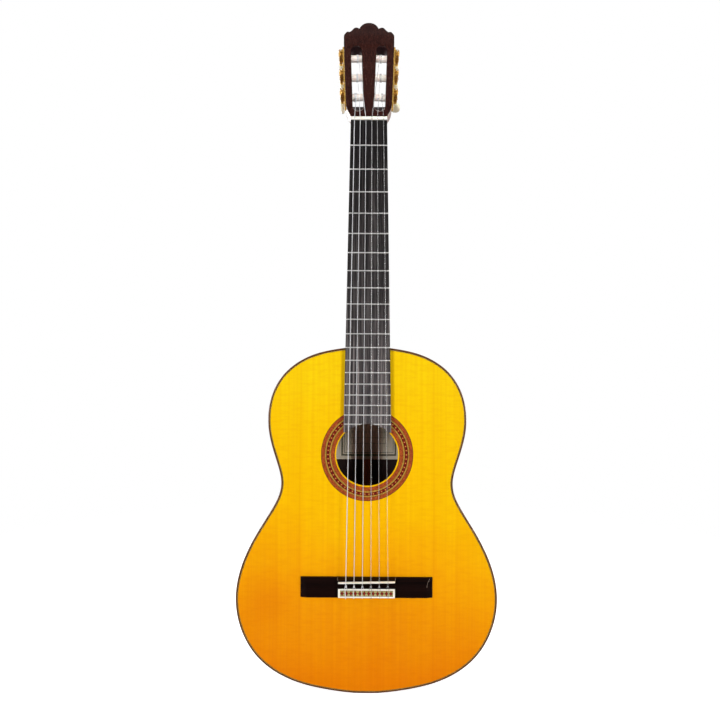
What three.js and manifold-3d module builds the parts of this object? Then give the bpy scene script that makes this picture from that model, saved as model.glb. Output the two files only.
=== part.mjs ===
// Classical guitar: six nylon strings, 650 mm scale, slotted headstock.
// Frame: mm, +Z up the neck, -Y out of the soundboard, +X the treble side.
// Origin: centre of the flat outer face of the end graft, at the tail.
// Throughout, side is 1 for treble and -1 for bass.
import * as THREE from "three";
import Module from "manifold-3d";

const wasm = await Module();
wasm.setup();
const { Manifold, Mesh: SolidMesh } = wasm;

// ---- driving dimensions ----
const SCALE = 650; // nut to saddle, before compensation
const NUT_Z = 809; // edge of the nut on the fingerboard side
const NUT_T = 5;
const BODY_LEN = NUT_Z - SCALE / 2; // tail to the neck join, under the 12th fret

const TOP_Y = -48; // outer face of the soundboard
const TOP_T = 2.6;
const TOP_INNER_Y = TOP_Y + TOP_T;
const BACK_T = 2.5;
const BACK_Y_TAIL = 48; // edge of the back at the tail
const BACK_Y_NECK = 43; // edge of the back at the heel
const BACK_DOME = 2.5;
const BACK_RINGS = [1, 0.8, 0.5]; // scale of each ring of the back about its centre
const STAR_Z = 290; // centre the back's rings shrink to
const RIB_T = 2;
const BIND_W = 2.2;
const BIND_H = 5;
const GRAFT_HALF = 8;

const HOLE_Z = 332.5;
const HOLE_R = 43.8;
const ROSETTE_R0 = 46.4;
const ROSETTE_R1 = 65.1;
const ROSETTE_T = 1.2;

const BOARD_T = 6.5;
const BOARD_Y = TOP_Y - BOARD_T; // outer face of the fingerboard
const BOARD_END_Z = 364.2;
const BOARD_W_NUT = 52;
const BOARD_W_12 = 63.1;
const FRETS = 19;
const FRET_H = 1.1;
const FRET_INSET = 0.4; // fret end to board edge
const LAST_FRET_GAP = 14; // half the gap the sound hole leaves in the last fret
const TANG_W = 0.6;
const TANG_D = 2;

const HEAD_TILT = THREE.MathUtils.degToRad(15);
const HEAD_Y = -51.8; // front of the headstock veneer where it meets the nut
const HEAD_Z = NUT_Z + NUT_T;
const HEAD_T = 20;
const VENEER_T = 2;
const WOOD_Y = VENEER_T + 0.3; // front of the headstock wood, in the headstock frame
const SIDE_X = 35.5; // half width of the headstock at the middle roller
const SIDE_SLOPE = 0.042; // how far each side leans out, per mm of length

const ROLLER_MID = 76.7; // middle roller's axis, along the headstock
const ROLLER_PITCH = 35;
const ROLLER_ZS = [-ROLLER_PITCH, 0, ROLLER_PITCH]; // roller axes in a side frame
const ROLLER_R = 5;
const ROLLER_IN = -30.6; // inner end of a roller, measured outwards from the wood's side

const STRING_NUT_Y = -56.3;
const STRING_HOLE_Y = -52.6;
const SADDLE_TOP_Y = -60.5;
const SADDLE_FOOT_Y = -52.4;
const BRIDGE_Z0 = 133.2;
const BRIDGE_Z1 = 161.9;
const BRIDGE_HALF = 92.5;
const BLOCK_HALF = 40.3;
const TIE_Z0 = 135.5;
const TIE_Z1 = 147.8;
const TIE_Y = -57;
const INLAY_T = 1;

// Half of the body outline: control points of a uniform cubic B-spline [x, z], tail to neck.
const OUTLINE = [
  [8.0, 0.0], [24.0, 0.0], [81.68, 8.59], [117.14, 22.03], [141.03, 37.34],
  [158.91, 55.16], [172.58, 77.32], [181.81, 103.69], [184.95, 131.63],
  [181.46, 160.06], [171.52, 189.72], [157.02, 218.4], [139.91, 245.44],
  [124.89, 269.83], [119.26, 292.24], [125.73, 316.45], [135.18, 343.35],
  [141.55, 371.6], [140.29, 403.06], [131.09, 431.29], [110.38, 457.62],
  [74.59, 477.43], [30.81, 484.0], [30.0, 484.0], [0, 484.0],
];

// Strings 1 to 6: radius, x at the nut, x at the saddle, x at the roller,
// roller (0 nearest the nut), look, turn of the tuner button in radians.
const STRINGS = [
  [0.36, 20.9, 29.7, 19.6, 0, "nylon", 0.15],
  [0.41, 12.0, 17.6, 16.4, 1, "nylon", 1.35],
  [0.51, 4.1, 6.0, 14.6, 2, "nylon", 1.6],
  [0.37, -4.3, -5.8, -14.6, 2, "wound", 1.5],
  [0.44, -12.4, -17.4, -16.4, 1, "wound", 1.35],
  [0.55, -20.7, -28.8, -19.6, 0, "wound", 1.5],
].map(([radius, nutX, saddleX, rollerX, roller, look, buttonTurn], i) => ({
  number: i + 1,
  side: Math.sign(nutX),
  rollerZ: ROLLER_ZS[roller],
  radius, nutX, saddleX, rollerX, look, buttonTurn,
}));

// ---- materials ----
const LOOKS = {
  spruce: { color: 0xe8a628, roughness: 0.35, metalness: 0 },
  rosewood: { color: 0x3b1f17, roughness: 0.35, metalness: 0 },
  binding: { color: 0x5a3018, roughness: 0.4, metalness: 0 },
  cedar: { color: 0x8a5a34, roughness: 0.45, metalness: 0 },
  ebony: { color: 0x1c1a1a, roughness: 0.5, metalness: 0 },
  bone: { color: 0xf0ead8, roughness: 0.35, metalness: 0 },
  brass: { color: 0xc79a3e, roughness: 0.28, metalness: 1 },
  cream: { color: 0xece2c6, roughness: 0.4, metalness: 0 },
  steel: { color: 0xc8c8cc, roughness: 0.3, metalness: 1 },
  nylon: { color: 0xe9e6dc, roughness: 0.25, metalness: 0 },
  wound: { color: 0xb9b4aa, roughness: 0.35, metalness: 1 },
  paper: { color: 0xcfcabd, roughness: 0.9, metalness: 0 },
  inlay: { color: 0x9a8a55, roughness: 0.4, metalness: 0 },
  brace: { color: 0xd9b27a, roughness: 0.7, metalness: 0 },
};

// ---- frames ----
function frame(name, parent, position) {
  const group = new THREE.Group();
  group.name = name;
  group.position.set(...position);
  parent?.add(group);
  return group;
}
const root = frame("classical_guitar", null, [0, 0, 0]);
// Headstock frame: z along the face, y from the front of the veneer to the back.
const headFrame = frame("headstock_frame", root, [0, HEAD_Y, HEAD_Z]);
headFrame.rotation.x = -HEAD_TILT;
// Side frames: on the wood's side at the middle roller, side * x pointing outwards.
const sideFrames = {};
for (const side of [1, -1]) {
  const name = side > 0 ? "treble_side_frame" : "bass_side_frame";
  const sideFrame = frame(name, headFrame, [side * SIDE_X, HEAD_T / 2, ROLLER_MID]);
  sideFrame.rotation.y = side * Math.atan(SIDE_SLOPE);
  sideFrames[side] = sideFrame;
}
root.updateMatrixWorld(true);
const placed = (geometry, group) => geometry.applyMatrix4(group.matrixWorld);

function add(name, geometry, look, parent = root) {
  geometry.computeVertexNormals();
  const material = new THREE.MeshStandardMaterial({ ...LOOKS[look], flatShading: true });
  const mesh = new THREE.Mesh(geometry, material);
  mesh.name = name;
  parent.add(mesh);
}

// ---- solids ----
const WELD = 2e4; // weld grid cells per mm

// Welds equal corners and drops the triangles that collapse.
function toSolid(geometry) {
  const flat = geometry.index ? geometry.toNonIndexed() : geometry;
  const source = flat.getAttribute("position").array;
  const indexOf = new Map();
  const corners = [];
  const vertexIds = [];
  for (let i = 0; i < source.length; i += 3) {
    const point = source.slice(i, i + 3);
    const key = Array.from(point, (v) => Math.round(v * WELD)).join(",");
    if (!indexOf.has(key)) {
      indexOf.set(key, corners.length / 3);
      corners.push(...point);
    }
    vertexIds.push(indexOf.get(key));
  }
  const triangles = [];
  for (let i = 0; i < vertexIds.length; i += 3) {
    const [a, b, c] = vertexIds.slice(i, i + 3);
    if (a !== b && b !== c && a !== c) triangles.push(a, b, c);
  }
  const mesh = new SolidMesh({
    numProp: 3,
    vertProperties: new Float32Array(corners),
    triVerts: new Uint32Array(triangles),
  });
  mesh.merge();
  return new Manifold(mesh);
}
function toGeometry(solid) {
  const mesh = solid.getMesh();
  const positions = new Float32Array(mesh.vertProperties);
  return new THREE.BufferGeometry()
    .setAttribute("position", new THREE.BufferAttribute(positions, 3))
    .setIndex(new THREE.BufferAttribute(new Uint32Array(mesh.triVerts), 1));
}
const union = (parts) => Manifold.union(parts.map(toSolid));
const join = (...parts) => toGeometry(union(parts));
const cut = (body, ...cutters) => toGeometry(toSolid(body).subtract(union(cutters)));

// Geometry from triangle corners, all turned over if the surface faces inwards.
function surface(positions) {
  const p = new Float32Array(positions);
  let volume = 0;
  for (let i = 0; i < p.length; i += 9) {
    const [ax, ay, az, bx, by, bz, cx, cy, cz] = p.slice(i, i + 9);
    volume += ax * (by * cz - bz * cy) + ay * (bz * cx - bx * cz) + az * (bx * cy - by * cx);
  }
  if (volume < 0) {
    for (let i = 0; i < p.length; i += 9) {
      const second = p.slice(i + 3, i + 6);
      p.copyWithin(i + 3, i + 6, i + 9);
      p.set(second, i + 6);
    }
  }
  return new THREE.BufferGeometry().setAttribute("position", new THREE.BufferAttribute(p, 3));
}

const X_AXIS = new THREE.Vector3(1, 0, 0);
const Y_AXIS = new THREE.Vector3(0, 1, 0);
const Z_AXIS = new THREE.Vector3(0, 0, 1);
// Polygon [a, b] pushed from low to high; axes give the directions of a, b and the push.
function prism(points, low, high, axes, holes = []) {
  const vectors = (list) => list.map(([a, b]) => new THREE.Vector2(a, b));
  const shape = new THREE.Shape(vectors(points));
  shape.holes = holes.map((hole) => new THREE.Path(vectors(hole)));
  const geometry = new THREE.ExtrudeGeometry(shape, { depth: high - low, bevelEnabled: false });
  geometry.translate(0, 0, low);
  geometry.applyMatrix4(new THREE.Matrix4().makeBasis(...axes));
  return surface(geometry.getAttribute("position").array);
}
// (x, z) polygon along y, and (y, z) polygon along x
const prismY = (points, y0, y1, holes) => prism(points, y0, y1, [X_AXIS, Z_AXIS, Y_AXIS], holes);
const prismX = (points, x0, x1) => prism(points, x0, x1, [Y_AXIS, Z_AXIS, X_AXIS]);
const box = (x0, x1, y0, y1, z0, z1) => prismY([[x0, z0], [x1, z0], [x1, z1], [x0, z1]], y0, y1);

// Skin over rings of equal length, with a fan at each end or the ends joined.
function loft(rings, closed = false) {
  const positions = [];
  const triangle = (a, b, c) => positions.push(...a, ...b, ...c);
  const count = rings[0].length;
  const spans = closed ? rings.length : rings.length - 1;
  for (let i = 0; i < spans; i++) {
    const ring = rings[i];
    const following = rings[(i + 1) % rings.length];
    for (let j = 0; j < count; j++) {
      const k = (j + 1) % count;
      triangle(ring[j], ring[k], following[k]);
      triangle(ring[j], following[k], following[j]);
    }
  }
  if (!closed) {
    for (const [ring, flip] of [[rings[0], true], [rings.at(-1), false]]) {
      const centre = [0, 1, 2].map((k) => ring.reduce((sum, q) => sum + q[k], 0) / count);
      for (let j = 0; j < count; j++) {
        const a = ring[j];
        const b = ring[(j + 1) % count];
        if (flip) triangle(b, a, centre);
        else triangle(a, b, centre);
      }
    }
  }
  return surface(positions);
}

// Stepped round bar along an axis: steps are [position, radius], centre is the other two axes.
function turned(axis, sides, steps, [centreU, centreV] = [0, 0]) {
  const place = {
    x: (t, u, v) => [t, u, v],
    y: (t, u, v) => [u, t, v],
    z: (t, u, v) => [u, v, t],
  }[axis];
  const ring = ([t, radius]) =>
    Array.from({ length: sides }, (_, i) => {
      const angle = (2 * Math.PI * i) / sides;
      return place(t, centreU + radius * Math.cos(angle), centreV + radius * Math.sin(angle));
    });
  return loft(steps.map(ring));
}
const rod = (axis, sides, from, to, radius, centre) =>
  turned(axis, sides, [[from, radius], [to, radius]], centre);

// Ascending interval from near to far, measured outwards on one side of zero.
const span = (side, near, far) => (side > 0 ? [near, far] : [-far, -near]);
// Points mirrored across the first axis, in reverse order.
const flipped = (points) => points.map(([a, b]) => [-a, b]).reverse();
const round4 = (value) => Math.round(value * 1e4) / 1e4;
const rounded = (points) => points.map((point) => point.map(round4));
const signedPower = (value, power) => Math.sign(value) * Math.abs(value) ** power;

// ---- body outline ----
const CONTROL = [...OUTLINE, ...flipped(OUTLINE.slice(0, -1))];
// Point and outward normal on span i of the closed spline, at t from 0 to 1.
function outlinePoint(i, t) {
  const near = [-1, 0, 1, 2].map((k) => CONTROL[(i + k + CONTROL.length) % CONTROL.length]);
  const weights = [(1 - t) ** 3, 3 * t ** 3 - 6 * t * t + 4, -3 * t ** 3 + 3 * t * t + 3 * t + 1, t ** 3];
  const slopes = [-3 * (1 - t) ** 2, 9 * t * t - 12 * t, -9 * t * t + 6 * t + 3, 3 * t * t];
  const blend = (factors, k) => near.reduce((sum, p, j) => sum + (p[k] * factors[j]) / 6, 0);
  const tangentX = blend(slopes, 0);
  const tangentZ = blend(slopes, 1);
  const length = Math.hypot(tangentX, tangentZ) || 1;
  return {
    x: blend(weights, 0),
    z: blend(weights, 1),
    normalX: tangentZ / length,
    normalZ: -tangentX / length,
  };
}
// Treble half, from the graft's edge at the tail to x = 0 at the neck.
const HALF = OUTLINE.flatMap((_, i) => {
  const isShort = i === 0 || i === 22 || i === OUTLINE.length - 1;
  return (isShort ? [0] : [0, 0.5]).map((t) => outlinePoint(i, t));
});
function inset(distance) {
  const treble = HALF.map((p) => [p.x - p.normalX * distance, p.z - p.normalZ * distance]);
  return rounded([...treble, ...flipped(treble.slice(0, -1))]);
}
const OUTER = inset(0);
const IN_BIND = inset(BIND_W);
const IN_RIB = inset(RIB_T);

// y of the back's edge, and of its outer face at a share of the way out to that edge
const backEdge = (z) => BACK_Y_TAIL - ((BACK_Y_TAIL - BACK_Y_NECK) * z) / BODY_LEN;
const backFace = (z, share) => backEdge(z) + BACK_DOME * (1 - share * share);

// ---- soundboard and rosette ----
const holeCircle = (radius) =>
  rounded(Array.from({ length: 40 }, (_, i) => {
    const angle = (2 * Math.PI * i) / 40;
    return [radius * Math.cos(angle), HOLE_Z + radius * Math.sin(angle)];
  }));
const HOLE_RING = holeCircle(HOLE_R);
const rosetteRing = (outerY) =>
  prismY(holeCircle(ROSETTE_R1), outerY, TOP_Y + ROSETTE_T, [holeCircle(ROSETTE_R0)]);
const topPlate = prismY(IN_BIND, TOP_Y, TOP_INNER_Y, [HOLE_RING]);
add("soundboard", cut(topPlate, rosetteRing(TOP_Y - 1)), "spruce");
add("rosette", rosetteRing(TOP_Y), "inlay");

// ---- bindings, ribs, end graft ----
// Four-cornered sections between two outlines, from y0(z) to y1(z).
const wallSections = (outer, inner, y0, y1) =>
  outer.map(([x, z], k) => {
    const [innerX, innerZ] = inner[k];
    return [[x, y0(z), z], [x, y1(z), z], [innerX, y1(z), innerZ], [innerX, y0(z), innerZ]];
  });
const topBindingY = () => TOP_Y + BIND_H;
const backBindingY = (z) => backEdge(z) - BIND_H;
const topBinding = wallSections(OUTER, IN_BIND, () => TOP_Y, topBindingY);
const backBinding = wallSections(OUTER, IN_BIND, backBindingY, backEdge);
add("top_binding", loft(topBinding, true), "binding");
add("back_binding", loft(backBinding, true), "binding");

const RIB_END_X = 5; // where a rib stops at the neck
function rib(side) {
  const half = (outline) =>
    outline.slice(0, HALF.length)
      .map(([x, z], k) => [side * (k === HALF.length - 1 ? RIB_END_X : x), z]);
  const edge = (z) => backBindingY(z) - 0.1;
  return loft(wallSections(half(OUTER), half(IN_RIB), topBindingY, edge));
}
add("rib_treble", rib(1), "rosewood");
add("rib_bass", rib(-1), "rosewood");
const graft = box(-GRAFT_HALF, GRAFT_HALF, TOP_Y + BIND_H, BACK_Y_TAIL - BIND_H, 0, RIB_T);
add("end_graft", graft, "binding");

// ---- back ----
function backPlate() {
  const positions = [];
  const triangle = (a, b, c, flip) => positions.push(...a, ...(flip ? [...c, ...b] : [...b, ...c]));
  const at = (share, k, inner) => {
    const [x, edgeZ] = IN_BIND[k];
    const z = STAR_Z + (edgeZ - STAR_Z) * share;
    return [x * share, backFace(z, share) - (inner ? BACK_T : 0), z];
  };
  for (let k = 0; k < IN_BIND.length; k++) {
    const l = (k + 1) % IN_BIND.length;
    for (const inner of [false, true]) {
      for (let r = 0; r < BACK_RINGS.length - 1; r++) {
        const [wide, narrow] = BACK_RINGS.slice(r, r + 2);
        const a = at(wide, k, inner);
        const c = at(narrow, l, inner);
        triangle(a, at(wide, l, inner), c, inner);
        triangle(a, c, at(narrow, k, inner), inner);
      }
      const last = BACK_RINGS.at(-1);
      triangle(at(last, k, inner), at(last, l, inner), at(0, k, inner), inner);
    }
    triangle(at(1, k, true), at(1, l, true), at(1, l, false), false);
    triangle(at(1, k, true), at(1, l, false), at(1, k, false), false);
  }
  return surface(positions);
}
add("back", backPlate(), "rosewood");

// How far out a point of the body lies: 0 at the star centre, 1 at the inset outline.
function starShare(x, z) {
  const rise = z - STAR_Z;
  if (Math.hypot(x, rise) < 1e-6) return 0;
  let nearest = 1e9;
  IN_BIND.forEach(([ax, az], k) => {
    const [bx, bz] = IN_BIND[(k + 1) % IN_BIND.length];
    const edgeX = bx - ax;
    const edgeZ = bz - az;
    const startZ = az - STAR_Z;
    const det = rise * edgeX - x * edgeZ;
    if (Math.abs(det) < 1e-9) return;
    const alongRay = (startZ * edgeX - ax * edgeZ) / det;
    const alongEdge = (x * startZ - rise * ax) / det;
    if (alongRay > 0 && alongEdge >= -1e-6 && alongEdge <= 1 + 1e-6) {
      nearest = Math.min(nearest, alongRay);
    }
  });
  return 1 / nearest;
}
const backInner = (x, z) => backFace(z, Math.min(1, starShare(x, z))) - BACK_T;

// Plate that follows the inside of the back; thickness is a function of x.
function onBack([x0, x1], [z0, z1], { gap, thickness, stepsX, stepsZ }) {
  const rings = [];
  for (let i = 0; i <= stepsX; i++) {
    const x = x0 + ((x1 - x0) * i) / stepsX;
    const outer = [];
    for (let k = 0; k <= stepsZ; k++) {
      const z = z0 + ((z1 - z0) * k) / stepsZ;
      outer.push([x, backInner(x, z) - gap, z]);
    }
    const inner = outer.map(([, y, z]) => [x, y - thickness(x), z]).reverse();
    rings.push([...outer, ...inner]);
  }
  return loft(rings);
}

// ---- tail block, bracing, label ----
const tailOutline = [
  [-GRAFT_HALF, BIND_W + 0.2], [GRAFT_HALF, BIND_W + 0.2],
  [34, 6.6], [34, 20], [-34, 20], [-34, 6.6],
];
add("tail_block", prismY(tailOutline, TOP_INNER_Y, 42.4), "cedar");

const BAR_W = 7;
const BAR_END = 3; // depth of a bar at its tips

// Inner half width of the ribs at height z.
function innerHalfWidth(z) {
  let width = 0;
  for (let k = 0; k < HALF.length - 1; k++) {
    const [ax, az] = IN_RIB[k];
    const [bx, bz] = IN_RIB[k + 1];
    const crosses = (az - z) * (bz - z) <= 0 && az !== bz;
    if (crosses) width = Math.max(width, ax + ((bx - ax) * (z - az)) / (bz - az));
  }
  return width;
}
const barReach = (z, gap) =>
  Math.min(innerHalfWidth(z - BAR_W / 2), innerHalfWidth(z + BAR_W / 2)) - gap;

// Ridged bar across the soundboard.
function topBar(z, height) {
  const reach = barReach(z, 1.2);
  const taper = 26;
  const z0 = z - BAR_W / 2;
  const z1 = z + BAR_W / 2;
  const stations = [
    [-reach, BAR_END], [-reach + taper, height], [reach - taper, height], [reach, BAR_END],
  ];
  return loft(stations.map(([x, h]) => {
    const shoulder = TOP_INNER_Y + h * 0.6;
    return [
      [x, TOP_INNER_Y, z0], [x, TOP_INNER_Y, z1],
      [x, shoulder, z1], [x, TOP_INNER_Y + h, z], [x, shoulder, z0],
    ];
  }));
}
// Strut on the soundboard between two (x, z) points, low at both ends.
function strut([x0, z0], [x1, z1], width, height) {
  const length = Math.hypot(x1 - x0, z1 - z0);
  const acrossX = (-(z1 - z0) / length) * (width / 2);
  const acrossZ = ((x1 - x0) / length) * (width / 2);
  const stations = [[0, 0.4], [0.12, 1], [0.88, 1], [1, 0.4]]; // share of length, of height
  return loft(stations.map(([t, share]) => {
    // width share of each corner, and its height
    const corners = [[-1, 0], [1, 0], [0.3, height * share], [-0.3, height * share]];
    return corners.map(([across, h]) => [
      x0 + (x1 - x0) * t + acrossX * across,
      TOP_INNER_Y + h,
      z0 + (z1 - z0) * t + acrossZ * across,
    ]);
  }));
}
const topBraces = [topBar(276, 15), topBar(392, 16)];
for (const side of [1, -1]) {
  topBraces.push(strut([side * 70, 274], [side * 70, 394], 8, 4.5)); // beside the sound hole
  topBraces.push(strut([side * -3, 44], [side * 134, 74], 6, 4)); // closing the fan at the tail
}
for (let i = -3; i <= 3; i++) {
  const tailZ = i === 0 ? 32 : 40 + Math.abs(i) * 4;
  topBraces.push(strut([i * 19, 277], [i * 40, tailZ], 6, 4)); // fan
}
add("top_bracing", join(...topBraces), "brace");

const BACK_BAR_H = 14;
const BRACE_GAP = 0.3;
function backBar(z) {
  const reach = barReach(z, 3.5);
  const rise = (x) => Math.min(1, (reach - Math.abs(x)) / 30);
  return onBack([-reach, reach], [z - BAR_W / 2, z + BAR_W / 2], {
    gap: BRACE_GAP,
    thickness: (x) => BAR_END + (BACK_BAR_H - BAR_END) * rise(x),
    stepsX: 8,
    stepsZ: 1,
  });
}
const centreStrip = onBack([-5.5, 5.5], [26, 445], {
  gap: BRACE_GAP, thickness: () => 1.2, stepsX: 1, stepsZ: 10,
});
add("back_bracing", join(...[110, 244, 410].map(backBar), centreStrip), "brace");
const label = onBack([-52, 59], [313.5, 393], {
  gap: 1.8, thickness: () => 0.5, stepsX: 4, stepsZ: 2,
});
add("label", label, "paper");

// ---- neck shaft, heel and inner foot ----
const boardHalf = (z) =>
  (BOARD_W_NUT + ((BOARD_W_12 - BOARD_W_NUT) * (NUT_Z - z)) / (SCALE / 2)) / 2;
// Half of a superellipse, from +halfWidth round to -halfWidth.
const superArc = (halfWidth, depth, exponent, steps) =>
  Array.from({ length: steps + 1 }, (_, i) => {
    const angle = (Math.PI * i) / steps;
    return [
      halfWidth * signedPower(Math.cos(angle), 2 / exponent),
      depth * signedPower(Math.sin(angle), 2 / exponent),
    ];
  });

const JOIN_Z = BODY_LEN + 0.1;
// z, depth below the fingerboard, exponent
const SHAFT_STATIONS = [
  [JOIN_Z, 17.5, 2.3], [560, 17, 2.3], [650, 16.4, 2.3], [740, 15.6, 2.3],
  [788, 15, 2.4], [800, 15.3, 3.2], [808, 16, 5], [HEAD_Z, 16.9, 9],
];
const shaft = loft(SHAFT_STATIONS.map(([z, depth, exponent]) =>
  superArc(boardHalf(Math.min(z, NUT_Z)), depth, exponent, 12).map(([x, y]) => [x, TOP_Y + y, z]),
));

const CAP_T = 3;
const HEEL_EXP = 2.25;
// y, half width, reach up the neck
const HEEL_STATIONS = [
  [-41, 28.2, 66], [-36, 27.2, 52], [-32, 25.8, 41], [-26, 23.6, 32], [-18, 21, 25.5],
  [-8, 18.3, 20.6], [4, 16.2, 17.6], [18, 14.8, 15.6], [30, 14.1, 14.9],
  [BACK_Y_NECK - CAP_T, 13.8, 14.5],
];
const heel = loft(HEEL_STATIONS.map(([y, halfWidth, reach]) =>
  superArc(halfWidth, reach, HEEL_EXP, 10).map(([x, z]) => [x, y, JOIN_Z + z]),
));
const footY1 = BACK_Y_NECK - BACK_T - 0.4;
const foot = box(-28, 28, TOP_INNER_Y, footY1, 452, BODY_LEN - RIB_T - 0.9);
// Web between the rib ends, joining the foot to the heel.
const webY = [TOP_Y + BIND_H + 0.2, BACK_Y_NECK - BIND_H - 0.3];
const web = box(-4.5, 4.5, ...webY, BODY_LEN - 5, BODY_LEN + 1);

// ---- headstock ----
const headSideX = (along) => SIDE_X + SIDE_SLOPE * (along - ROLLER_MID);
// Treble half of the outline: x, distance along the face
const HEAD_HALF = [
  [26, -3], [26, 0.6], [27, 4.4], [28.3, 7.3], [29.7, 9.9], [30.8, 12.4], [31.7, 15],
  [32.4, 17.6], [32.9, 20.5], [headSideX(26), 26], [headSideX(131), 131], [37.9, 140],
  [37.9, 146.4], [36.6, 149.2], [35, 151.7], [33.2, 153.6], [31.6, 153.9], [29.8, 153.3],
  [28.1, 154.2], [26.5, 155.6], [25, 157.4], [23.5, 159.4], [22, 160.9], [20.5, 161.5],
  [19, 161.6], [17.5, 161.4], [16, 160.7], [14.4, 160.1], [12.9, 163.1], [11.4, 165.3],
  [9.9, 166.9], [8.4, 168.1], [6.9, 169], [5.4, 169.7], [3.9, 170.2], [2.2, 170.6],
];
const HEAD_OUTLINE = [...HEAD_HALF, ...flipped(HEAD_HALF)];

// Round-ended slot on the treble side, between two end centres.
function slotOutline() {
  const low = [15.35, 18.6];
  const high = [19, 119.6];
  const radius = 8.05;
  const lean = Math.atan2(high[1] - low[1], high[0] - low[0]);
  const halfTurn = ([x, z], start) =>
    Array.from({ length: 7 }, (_, i) => {
      const angle = start + (Math.PI * i) / 6;
      return [x + radius * Math.cos(angle), z + radius * Math.sin(angle)];
    });
  return [...halfTurn(high, lean - Math.PI / 2), ...halfTurn(low, lean + Math.PI / 2)];
}
const SLOTS = [slotOutline(), flipped(slotOutline())];
const headPlate = (y0, y1) => placed(prismY(HEAD_OUTLINE, y0, y1, SLOTS), headFrame);
// Block that clears everything in front of y and below z at the head end.
const clearance = (y, z) => box(-60, 60, -90, y, 700, z);

// The lower end of each slot is ramped, so the strings drop in to the rollers.
const RAMP = [[WOOD_Y, 8], [WOOD_Y, 13.4], [HEAD_T, 35], [HEAD_T, 8]]; // y, z
const ramps = [1, -1].map((side) => placed(prismX(RAMP, ...span(side, 6.6, 24.6)), headFrame));
const boreR = (ROLLER_R + 0.3) / Math.cos(Math.PI / 12);
const bores = [1, -1].flatMap((side) =>
  ROLLER_ZS.map((z) =>
    placed(rod("x", 12, ...span(side, ROLLER_IN - 0.4, 3), boreR, [0, z]), sideFrames[side]),
  ),
);
const head = cut(
  join(headPlate(WOOD_Y, HEAD_T), ...ramps),
  clearance(TOP_Y, HEAD_Z),
  clearance(60, HEAD_Z - 2),
);
add("neck", cut(join(shaft, heel, foot, web, head), ...bores), "cedar");

const [, capHalf, capReach] = HEEL_STATIONS.at(-1);
const capOutline = rounded(
  superArc(capHalf, capReach, HEEL_EXP, 10).map(([x, z]) => [x, BODY_LEN + z]),
);
add("heel_cap", prismY(capOutline, BACK_Y_NECK - CAP_T, BACK_Y_NECK), "rosewood");
const veneer = cut(headPlate(0, VENEER_T), clearance(60, HEAD_Z + 0.2));
add("headstock_veneer", veneer, "rosewood");

// ---- fingerboard and frets ----
const fretZ = (n) => round4(NUT_Z - SCALE * (1 - 2 ** (-n / 12)));
function fingerboard() {
  const endHalf = boardHalf(BOARD_END_Z);
  const nutHalf = BOARD_W_NUT / 2;
  const outline = [
    [-endHalf, BOARD_END_Z], [endHalf, BOARD_END_Z], [nutHalf, NUT_Z], [-nutHalf, NUT_Z],
  ];
  const slots = Array.from({ length: FRETS }, (_, i) => {
    const z = fretZ(i + 1);
    return box(-40, 40, BOARD_Y - 1, BOARD_Y + TANG_D, z - TANG_W / 2, z + TANG_W / 2);
  });
  const hole = prismY(HOLE_RING, BOARD_Y - 1, TOP_Y + 1);
  return cut(prismY(outline, BOARD_Y, TOP_Y), hole, ...slots);
}
add("fingerboard", fingerboard(), "ebony");

// Fret section: y from the board's face, z from the fret line
const FRET_SECTION = [
  [0, -1.1], [-0.5, -1.0], [-0.9, -0.62], [-FRET_H, 0], [-0.9, 0.62], [-0.5, 1.0], [0, 1.1],
  [0, TANG_W / 2], [TANG_D, TANG_W / 2], [TANG_D, -TANG_W / 2], [0, -TANG_W / 2],
];
const fret = (n, x0, x1) =>
  prismX(FRET_SECTION.map(([y, z]) => [BOARD_Y + y, fretZ(n) + z]), x0, x1);
const fretHalf = (n) => boardHalf(fretZ(n)) - FRET_INSET;
for (let n = 1; n < FRETS; n++) {
  add("fret_" + String(n).padStart(2, "0"), fret(n, -fretHalf(n), fretHalf(n)), "steel");
}
// The last fret is split by the sound hole.
for (const side of [-1, 1]) {
  const name = `fret_${FRETS}_${side > 0 ? "treble" : "bass"}`;
  add(name, fret(FRETS, ...span(side, LAST_FRET_GAP, fretHalf(FRETS))), "steel");
}

// ---- bridge, saddle, tie block inlay ----
// Both sections: y, z
const WING_SECTION = [
  [TOP_Y, BRIDGE_Z0], [TOP_Y - 2.6, BRIDGE_Z0], [TOP_Y - 3.6, BRIDGE_Z0 + 2.2],
  [TOP_Y - 3.6, BRIDGE_Z1 - 2.4], [TOP_Y - 2.6, BRIDGE_Z1], [TOP_Y, BRIDGE_Z1],
];
const BLOCK_SECTION = [
  [TOP_Y, BRIDGE_Z0 + 0.8], [TIE_Y + 1, TIE_Z0 - 0.6], [TIE_Y, TIE_Z0], [TIE_Y, TIE_Z1],
  [-51.6, TIE_Z1], [-51.6, 151.9], [-57, 153.7], [-57, 159.6], [-53, 161.5], [TOP_Y, BRIDGE_Z1],
];
const saddleZ = (x) => 156.95 + (x / 40) * 0.75; // the saddle leans for compensation

function bridge() {
  const half = 40;
  const halfSlot = 2.95 / 2;
  const saddleSlot = [
    [-half, saddleZ(-half) - halfSlot], [half, saddleZ(half) - halfSlot],
    [half, saddleZ(half) + halfSlot], [-half, saddleZ(-half) + halfSlot],
  ];
  const stringHoles = STRINGS.map(({ saddleX }) =>
    rod("z", 8, TIE_Z0 - 3, TIE_Z1 + 2, 0.95, [saddleX, STRING_HOLE_Y]),
  );
  const wings = prismX(WING_SECTION, -BRIDGE_HALF, BRIDGE_HALF);
  const block = prismX(BLOCK_SECTION, -BLOCK_HALF, BLOCK_HALF);
  return cut(join(wings, block), prismY(saddleSlot, -70, SADDLE_FOOT_Y), ...stringHoles);
}
add("bridge", bridge(), "rosewood");

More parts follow.
